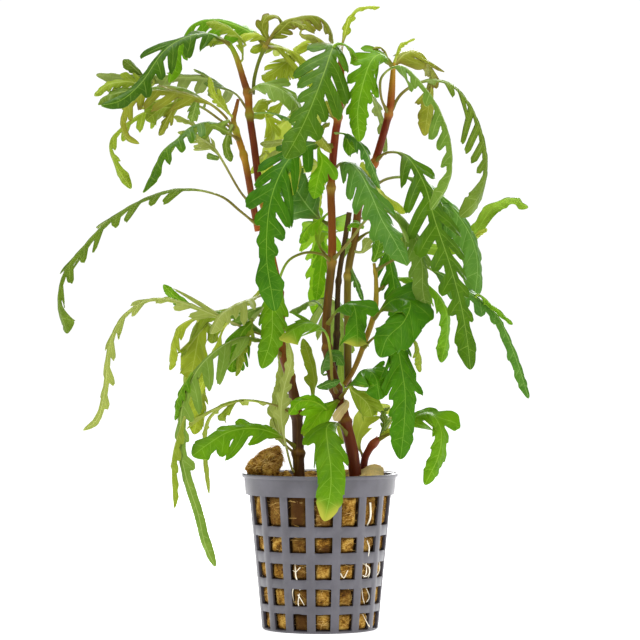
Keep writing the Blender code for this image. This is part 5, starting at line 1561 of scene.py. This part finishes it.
SPROUTS = (
    sprout("crown_fan", "-17.3 5 196.5, -19.3 4 200.5, -17.7 4 204.2, -14.3 5 204.5, -12 6 201.8", OLIVE,
        3.2, 3, 0.1, 0.45),
    sprout("crown_right", "-17.3 5 196.5, -13.3 3 199.5, -9.7 1 202.5, -6 -1 201.2, -4 -1 200.2", OLIVE, 3,
        4, 0.1, 0.3),
    sprout("side_fan", "-7.7 13 190.5, -11.3 11 188.8, -15 9 185.8, -19.3 7 183.2", YELLOW, 4.2, 3, 0.08,
        0.3),
    sprout("side_low", "-10 12 191.2, -12 12 186.8, -13 13 180.8", YELLOW, 3.6, 2, 0.08, 0.4),
    sprout("side_upper", "-8.7 13 190.5, -7 14 194.5, -4 15 196.5, -1 15 196.2", YELLOW, 3.2, 3, 0.1, 0.35),
    sprout("side_left", "-12.3 9 193.5, -16 7 195.2, -19.3 5 194.8, -23.3 4 192.5", YELLOW, 2.8, 2, 0.1, 0.5),
    sprout("inner_behind", "-23.3 6 168.8, -21.3 9 173.5, -19.3 11 176.8, -17.3 11 175.8, -17.7 11 172.8",
        YELLOW, 3.4, 2, 0.2, 0.5),
    sprout("inner_far_petiole", "-23.3 3.5 171.8, -16.7 4 172.2, -10.7 3 170.5, -6.7 1 167.2", GLAUCOUS, 1.9,
        2, 0.45, 0.6, UPWARD),
    sprout("inner_crown_blade", "-25.7 2 189.5, -25.7 1 193.8, -26.7 0 197.2", LIME, 2.2, 2, 0.2, 0.5),
    sprout("inner_crown_finger", "-29.7 0 193.8, -32 -1 196.5, -35.7 -2 196.2, -39 -2 195.2", LIME, 2.4, 3,
        0.15, 0.35),
    sprout("joint_serrated", "-28.3 -3 169.8, -32 -4 173.8, -35.7 -5 178.5, -37 -5 184.2", YELLOW, 1.5, 5,
        0.3, 0.6, fill=0.9),
    sprout("joint_short", "-30.3 -3.4 171.8, -33 -4 175.8, -34 -4.5 180.2", YELLOW, 1.3, 4, 0.2, 0.6,
        fill=0.9),
    sprout("joint_hanging", "-29.3 -3.6 168.2, -31 -6 163.8, -31.3 -7 160.2, -29.7 -7.5 155.8", MOSS, 1.6, 2,
        0.2, 0.85),
    sprout("left_end_up", "-59.3 23 184.2, -61.7 22 186.8, -65.7 21 189.8", MOSS, 2, 2, 0.15, 0.85),
    sprout("left_end_back", "-56 22 181.2, -64 21 182.5, -70.7 20 181.5, -75.3 19 177.8", LIME, 3.4, 4, 0.1,
        0.35),
    sprout("left_round", "-49.3 -8 174.2, -52.7 -9 173.8, -55.7 -10 171.5, -58 -10 169.5", LIME, 3.4, 2, 0.1,
        0.9, fill=0.9, tip=0.9),
    sprout("left_olive_hanging", "-48.3 -8.5 174.8, -49.7 -9.5 172.2, -51.7 -10 168.5, -53.7 -10 164.5",
        OLIVE, 2, 2, 0.1, 0.5),
    sprout("left_pale_lobe", "-41.3 3 167.2, -44 4 169.5, -46.7 4 170.8, -49 4 170.8", PALE, 1.8, 2, 0.1,
        0.9),
    sprout("left_inner_hanging", "-41 -6 176.5, -42 -7 172.8, -43 -7 169.2", SAGE, 2.3, 2, 0.1, 0.7),
    sprout("left_leaflet", "-33.7 1 156.8, -35.7 0.6 157.5, -37.7 0.4 158.2", SAGE, 1.2, 2, 0.2, 0.9),
    sprout("left_back_lobes", "-35.3 2 160.5, -38 1 162.2, -41 0 162.8", PALE, 2.4, 2, 0.1, 0.6),
    sprout("centre_young", "-2 -13 167.5, 0.3 -12 163.8, 3.7 -11 158.8", OLIVE, 2.4, 3, 0.1, 0.6),
    sprout("centre_curl", "-0.7 -11 166.2, 1.3 -12 167.8, 3.3 -12 168.8", OLIVE, 1.2, 2, 0.2, 0.6),
    sprout("centre_left_pale", "-9.3 8 162.5, -13.7 9 160.5, -17 9 157.8, -19.3 9 153.8", PALE, 3.6, 3, 0.1,
        0.45),
    sprout("centre_left_bar", "-8 4 163.2, -14.7 5 162.2, -20 5 161.8", PALE, 1.4, 2, 0.2, 0.8),
    sprout("left_behind_stem", "-18 12 159.5, -21 12 156.2, -23 12 151.8", YELLOW, 2.4, 3, 0.1, 0.5),
    sprout("right_curl", "23.7 1 187.5, 22 0 192.2, 20 -1 194.2, 17.7 -2 193.5", OLIVE, 0.9, 3, 0.3, 0.5),
    sprout("right_tip", "24.7 1 188.5, 26.3 0 193.8, 28.7 0 195.8, 31.7 0 196.8", YELLOW, 1, 3, 0.3, 0.5),
    sprout("right_stem_yellow", "18 3 149.2, 16 1.5 152.8, 13.7 0 155.5", YELLOW, 2.4, 2, 0.15, 0.8),
    sprout("old_stem_leaf", "14.7 -2 133.8, 12 -4 135.5, 9.3 -5 134.2", GREEN, 2.4, 2, 0.15, 0.7),
    sprout("middle_dark", "10.3 -1 120.2, 12.3 -2 115.2, 14.3 -3 109.5", GLAUCOUS, 1.5, 3, 0.2, 0.5),
    sprout("right_yellow", "20 10 146.2, 23.7 10 143.2, 28.3 10 138.5", YELLOW, 3, 3, 0.1, 0.5),
    sprout("right_dark_hook", "38 4 141.8, 41.7 3.4 140.8, 43.3 3 138.2, 42.3 3 135.2", GLAUCOUS, 2, 2, 0.1,
        0.8),
    sprout("far_right_tip", "50.7 20 130.2, 53 19 132.2, 55.7 18 133.2", YELLOW, 1, 2, 0.2, 0.8),
    sprout("far_right_finger", "52.7 -3 111.8, 57 -4 108.2, 61.3 -4 104.5, 64.3 -4 101.5", GREEN, 1.1, 3,
        0.1, 0.7, FRONT_RIGHT),
    sprout("centre_low_grey", "0.7 -2 84.8, 2.3 -5 90.5, 5.7 -6 90.8, 8 -6 87.8", GLAUCOUS, 3.4, 2, 0.15,
        0.7),
    sprout("centre_low_side", "-0.7 -3 80.2, 3 -5 81.8, 6.7 -5 82.8", GLAUCOUS, 2.2, 2, 0.1, 0.6),
    sprout("centre_upright", "-3 5 75.5, -2 6 83.5, -3.8 6.5 91.2, -5.7 7 96.8", LIME, 2.6, 2, 0.1, 0.7),
    sprout("base_curled", "3.3 -3 72.2, -1.3 -7 75.5, -6.7 -9 75.8, -10.3 -10 71.5", BACKLIT, 3, 2, 0.2, 0.8,
        fill=0.9),
    sprout("base_husk", "9.3 -8.5 75.8, 7 -9 72.8, 4.7 -9 69.5", HUSK, 1.7, 2, 0.05, 0.9),
    sprout("low_upright", "20.3 3 64.2, 21.7 2 68.2, 20.7 1 72.2, 23.3 0 73.8", MOSS, 1.6, 4, 0.15, 0.5),
    sprout("low_side", "20 2.6 63.8, 22 1 65.8, 24.7 0 66.8", YELLOW, 1.4, 2, 0.2, 0.6),
    sprout("low_back", "20.7 4 64.8, 22.7 5 68.8, 24.3 6 71.5", PALE, 1.4, 2, 0.3, 0.6),
    sprout("left_grey_over", "-17.3 -1 97.5, -23.3 -3 102.2, -29 -3.5 105.5, -35.3 -4 105.8", SAGE, 3.6, 3,
        0.15, 0.5, UPWARD),
    sprout("left_low_behind", "-18.7 4 113.8, -22 3 111.2, -24.3 2 107.8", YELLOW, 1.8, 2, 0.1, 0.8),
    sprout("left_low_broad", "-14.7 5 109.5, -19.3 5 107.5, -24 4.5 105.5, -28 4 102.2", SAGE, 4, 2, 0.1,
        0.7),
    sprout("base_left_front", "-9 -2 52.5, -11.3 -4 60.8, -13 -5 71.2, -12 -5 80.2, -9.7 -5 88.8, "
        "-10.7 -5 95.8", PALE, 2.8, 4, 0.35, 0.4, fill=0.6),
    sprout("middle_fan", "2.7 2 138.8, -0.7 2 136.2, -4.3 2.5 133.2, -6.7 3 128.5", BACKLIT, 3.2, 3, 0.1,
        0.5),
    sprout("base_left_pale", "-11.7 7 61.2, -14.3 8 65.5, -16.3 8 70.2", PALE, 2.4, 2, 0.2, 0.5),
    sprout("left_mid_broad", "-38.3 4 175.8, -43.3 3 179.5, -50.7 2 181.2, -58 1 180.2", MOSS, 3.4, 4, 0.1,
        0.4, UPWARD),
    sprout("left_mid_yellow", "-41.3 6 175.2, -48 5 177.8, -54 4 176.5, -60 3 173.5", LIME, 2.6, 4, 0.1, 0.4,
        UPWARD),
    sprout("left_end_olive", "-61.7 19 180.2, -67.3 18 178.8, -71.3 17 177.8, -74 17 174.8", MOSS, 3.4, 3,
        0.1, 0.5, UPWARD),
    sprout("crown_top_left", "-24.7 1 194.8, -28 0 198.8, -33 -1 201.5, -38 -1 202.2", LIME, 3, 3, 0.15, 0.5),
    sprout("crown_inner_hook", "-17.3 4 196.2, -20.7 3 198.2, -24.7 2 198.2, -27.3 2 196.2", YELLOW, 2.6, 3,
        0.1, 0.4),
    sprout("crown_behind_green", "-12.3 16 188.8, -8 17 186.8, -4 18 183.5, -1.3 18 178.8", YELLOW, 3.4, 3,
        0.1, 0.4),
    sprout("crown_middle_olive", "-6.7 2 198.2, -1.3 1 197.5, 2.7 1 194.2, 3.3 1 189.5", OLIVE, 2.6, 3, 0.1,
        0.5, UPWARD),
    sprout("crown_far_left_lobe", "-19.3 12 173.5, -17.3 12 170.2, -16 12 165.5, -18 12 161.5", YELLOW, 3.6,
        3, 0.1, 0.4),
    sprout("crown_mid_pale", "-12.3 10 176.8, -14.7 10 173.5, -18 10 170.8", YELLOW, 2.6, 2, 0.1, 0.5),
    sprout("centre_glaucous_arch", "4.7 -4 165.5, 10 -8 164.8, 14.3 -10 160.8, 17.3 -12 154.2, 20 -13 146.8",
        GLAUCOUS, 2.6, 4, 0.25, 0.5, FRONT_RIGHT, fold=30),
    sprout("centre_round_lobe", "8.7 -6 164.8, 9.7 -8 161.8, 12.3 -8 159.2", GREEN, 2.6, 2, 0.1, 0.9,
        tip=0.9),
    sprout("centre_hanging_bright", "-0.7 -3 160.2, 0.7 -4 156.2, -0.7 -4 150.2, -2 -3 143.5", BACKLIT, 4.2,
        3, 0.1, 0.55),
    sprout("centre_hanging_left", "-6.7 3 155.5, -8.7 3 150.8, -10 4 144.2", YELLOW, 3.6, 3, 0.1, 0.45),
    sprout("middle_yellow", "-0.7 6 132.2, 0.7 7 126.2, 0 8 118.8, -1.3 8 109.5", BACKLIT, 3.4, 3, 0.1, 0.5),
    sprout("middle_twig_leaf", "14 1 125.5, 15.3 0 128.2, 17.3 0 130.2", PALE, 2.4, 2, 0.1, 0.6),
    sprout("low_left_start", "-43.3 -9 107.5, -48 -9 110.5, -52.3 -9 114.8", GREEN, 1.8, 2, 0.1, 0.8),
    sprout("low_left_hanging", "-22.7 -6 103.5, -24.7 -8 98.2, -26.7 -9 92.2, -28 -9 84.2", LIME, 2.8, 4,
        0.1, 0.45, OUT_LEFT),
    sprout("low_left_hanging_inner", "-32.7 -5 99.5, -34.7 -6 94.5, -36.7 -6 90.2", YELLOW, 2.2, 3, 0.1, 0.5,
        OUT_LEFT),
    sprout("low_yellow_outer", "-41.3 12 103.5, -46.7 12 100.8, -49.3 12 94.8, -50 12 86.2", YELLOW, 4, 3,
        0.1, 0.5, OUT_LEFT),
    sprout("low_long_outer", "-45.3 -24 70.8, -47.7 -25 63.5, -49.3 -26 55.5, -48.7 -27 40.2", LIME, 2.4, 4,
        0.1, 0.5, OUT_LEFT, fold=30),
    sprout("low_long_side", "-42.7 -19 85.5, -45.3 -20 81.5, -47.7 -21 75.5, -48.3 -21 69.5", GREEN, 2.2, 3,
        0.1, 0.5, OUT_LEFT),
    sprout("low_middle_yellow", "-37.3 -2 85.5, -39.3 -3 81.5, -41.3 -3 76.8", YELLOW, 2.2, 2, 0.1, 0.6),
    sprout("base_bright_lower", "10.7 -8 79.5, 13.3 -10 77.5, 16 -11 74.8, 17.3 -11 70.8", LIME, 5, 2, 0.05,
        0.75),
    sprout("hanging_side", "30.7 -12 96.8, 33 -12 92.2, 33.3 -12 85.5", LIME, 2.6, 3, 0.1, 0.5, FRONT_RIGHT),
    sprout("crown_right_lobe", "6 -6 195.5, 9 -5 194.8, 11.7 -4 192.2, 12 -4 188.8", GREEN, 3, 2, 0.05, 0.7,
        UPWARD),
    sprout("centre_upper_twig", "2.3 2 102.2, 1 1 106.8, -1.7 0 109.5, -6.7 -1 107.5, -10.3 -1 105.5", SAGE,
        2.6, 2, 0.3, 0.7, UPWARD),
    sprout("old_stem_side", "7 2 122.2, 8.7 1 127.5, 9.7 0 130.2", SAGE, 1.6, 2, 0.3, 0.7),
    sprout("thin_tip_leaf", "17.7 0 122.2, 19.3 -1 126.2, 20 -2 130.2", GREEN, 2.8, 3, 0.1, 0.5),
    sprout("low_body", "-40 14 100.8, -41 14 95.2, -42 14 89.5, -43.3 14 82.8", YELLOW, 5.6, 2, 0.05, 0.75,
        fill=0.9),
    sprout("low_lobe_hanging", "-39.3 12 102.5, -37 12 101.2, -35.7 12 98.2, -36.3 12 95.2", LIME, 2.4, 2,
        0.1, 0.9, tip=0.9),
    sprout("low_lower_body", "-41.7 13 84.2, -40.3 13 78.8, -40.7 13 72.8, -42 13 64.8", YELLOW, 4, 3, 0.05,
        0.6),
    sprout("low_left_green", "-22.7 -7 102.2, -25.7 -8 99.2, -27.7 -8 94.2, -29.7 -8 85.5", GREEN, 5.8, 3,
        0.08, 0.4, fill=0.8),
    sprout("low_back_lobe", "-28 16 76.2, -30.7 16 74.2, -32.7 15 71.8, -33.7 15 69.5", LIME, 2.6, 2, 0.1,
        0.8, tip=0.9),
    sprout("centre_joint_left", "4.7 1 170.8, 2.7 3 173.5, 2 4 176.2", OLIVE, 1.4, 2, 0.3, 0.6),
)


# Studio


@dataclass(frozen=True)
class Lamp:
    """One soft box.

    Its place and the length of its side are in millimetres, and its power in watts.
    """

    name: str
    place: Point
    size: float
    power: float

    def build(self, target: Vector) -> None:
        """Hangs the lamp and turns it to the target."""
        light = bpy.data.lights.new(self.name, "AREA")
        light.size = self.size * MM
        light.energy = self.power
        lamp = show(self.name, light)
        lamp.location = Vector(self.place) * MM
        lamp.rotation_euler = (target - lamp.location).to_track_quat("-Z", "Y").to_euler()


@dataclass
class Studio:
    """The photo's set: a white sweep in soft light, seen level from the front.

    Attributes:
        lens: Focal length in millimetres on a sensor 36 mm wide.
        lamps: The soft boxes.
    """

    lens: float = 177.0
    target: Point = (0.0, 0.0, 105.0)
    floor_size: float = 12000.0
    sky_light: float = 0.4
    sky_seen: float = 1.05
    lamps: Sequence[Lamp] = (
        Lamp("soft_box_left", (-450.0, -650.0, 760.0), 420.0, 3.9),
        Lamp("soft_box_right", (620.0, -480.0, 380.0), 420.0, 1.75),
        Lamp("soft_box_above", (0.0, 60.0, 800.0), 480.0, 5.5),
        Lamp("soft_box_behind", (120.0, 650.0, 420.0), 420.0, 8.0),
    )

    def build_camera(self) -> None:
        """The camera, level and straight on."""
        lens = bpy.data.cameras.new("camera")
        lens.lens = self.lens
        lens.sensor_width = 36.0
        camera = show("camera", lens)
        camera.location = Vector((0.0, -EYE_DISTANCE, EYE_HEIGHT)) * MM
        camera.rotation_euler = (math.pi / 2, 0.0, 0.0)
        bpy.context.scene.camera = camera

    def build_floor(self) -> None:
        """The white floor, which runs on into the white of the world."""
        material = Recipe("studio_paper_white").dress({
            "Base Color": "#F4F4F4", "Roughness": 0.9, "Emission Color": "#FFFFFF", "Emission Strength": 0.8,
            "Specular IOR Level": 0.1})
        bm = bmesh.new()
        bmesh.ops.create_grid(bm, x_segments=1, y_segments=1, size=self.floor_size / 2 * MM)
        mesh = bpy.data.meshes.new("studio_floor")
        bm.to_mesh(mesh)
        bm.free()
        mesh.materials.append(material)
        floor = show("studio_floor", mesh)

    def build(self) -> None:
        """Sets up the camera, floor, lamps and white world."""
        scene = bpy.context.scene
        self.build_camera()
        self.build_floor()
        for lamp in self.lamps:
            lamp.build(Vector(self.target) * MM)
        world = bpy.data.worlds.new("studio_white")
        world.use_nodes = True
        sky = world.node_tree.nodes["Background"]
        # The backdrop is burnt out to white, but lights the plant less than that
        seen = add_node(world.node_tree, "LightPath", {}).outputs["Is Camera Ray"]
        burnt_out = {"Value": seen, "To Min": self.sky_light, "To Max": self.sky_seen}
        strength = add_node(world.node_tree, "MapRange", burnt_out).outputs["Result"]
        feed_node(sky, {"Color": "#FFFFFF", "Strength": strength})
        scene.world = world
        scene.view_settings.view_transform = "Standard"
        LOG.info("studio: camera, floor and %d soft boxes", len(self.lamps))


def build_parts() -> None:
    """Builds the pot, the wool and roots in it, the stems and every leaf."""
    pot = NetPot()
    pot.build(PolypropyleneFinish().make())
    wool = Rockwool(pot)
    spun = RockwoolFinish().make()
    wool.build_plug(spun)
    wool.build_tuft(spun)
    wool.build_fibres(StrandFinish("rockwool_loose_fibre", "#B08038", "#D8B468", 0.8).make())
    Roots(wool).build(StrandFinish("root_living_white", "#E4D8BC", "#F2EBD8", 0.4).make())
    for stem in STEMS:
        stem.build()
    for leaf in [*LEAVES, *rooted_sprouts()]:
        leaf.build()


def main() -> None:
    """Builds the plant and its studio."""
    logging.basicConfig(level=logging.INFO, format="%(message)s")
    build_parts()
    Studio().build()


if __name__ == "__main__":
    main()
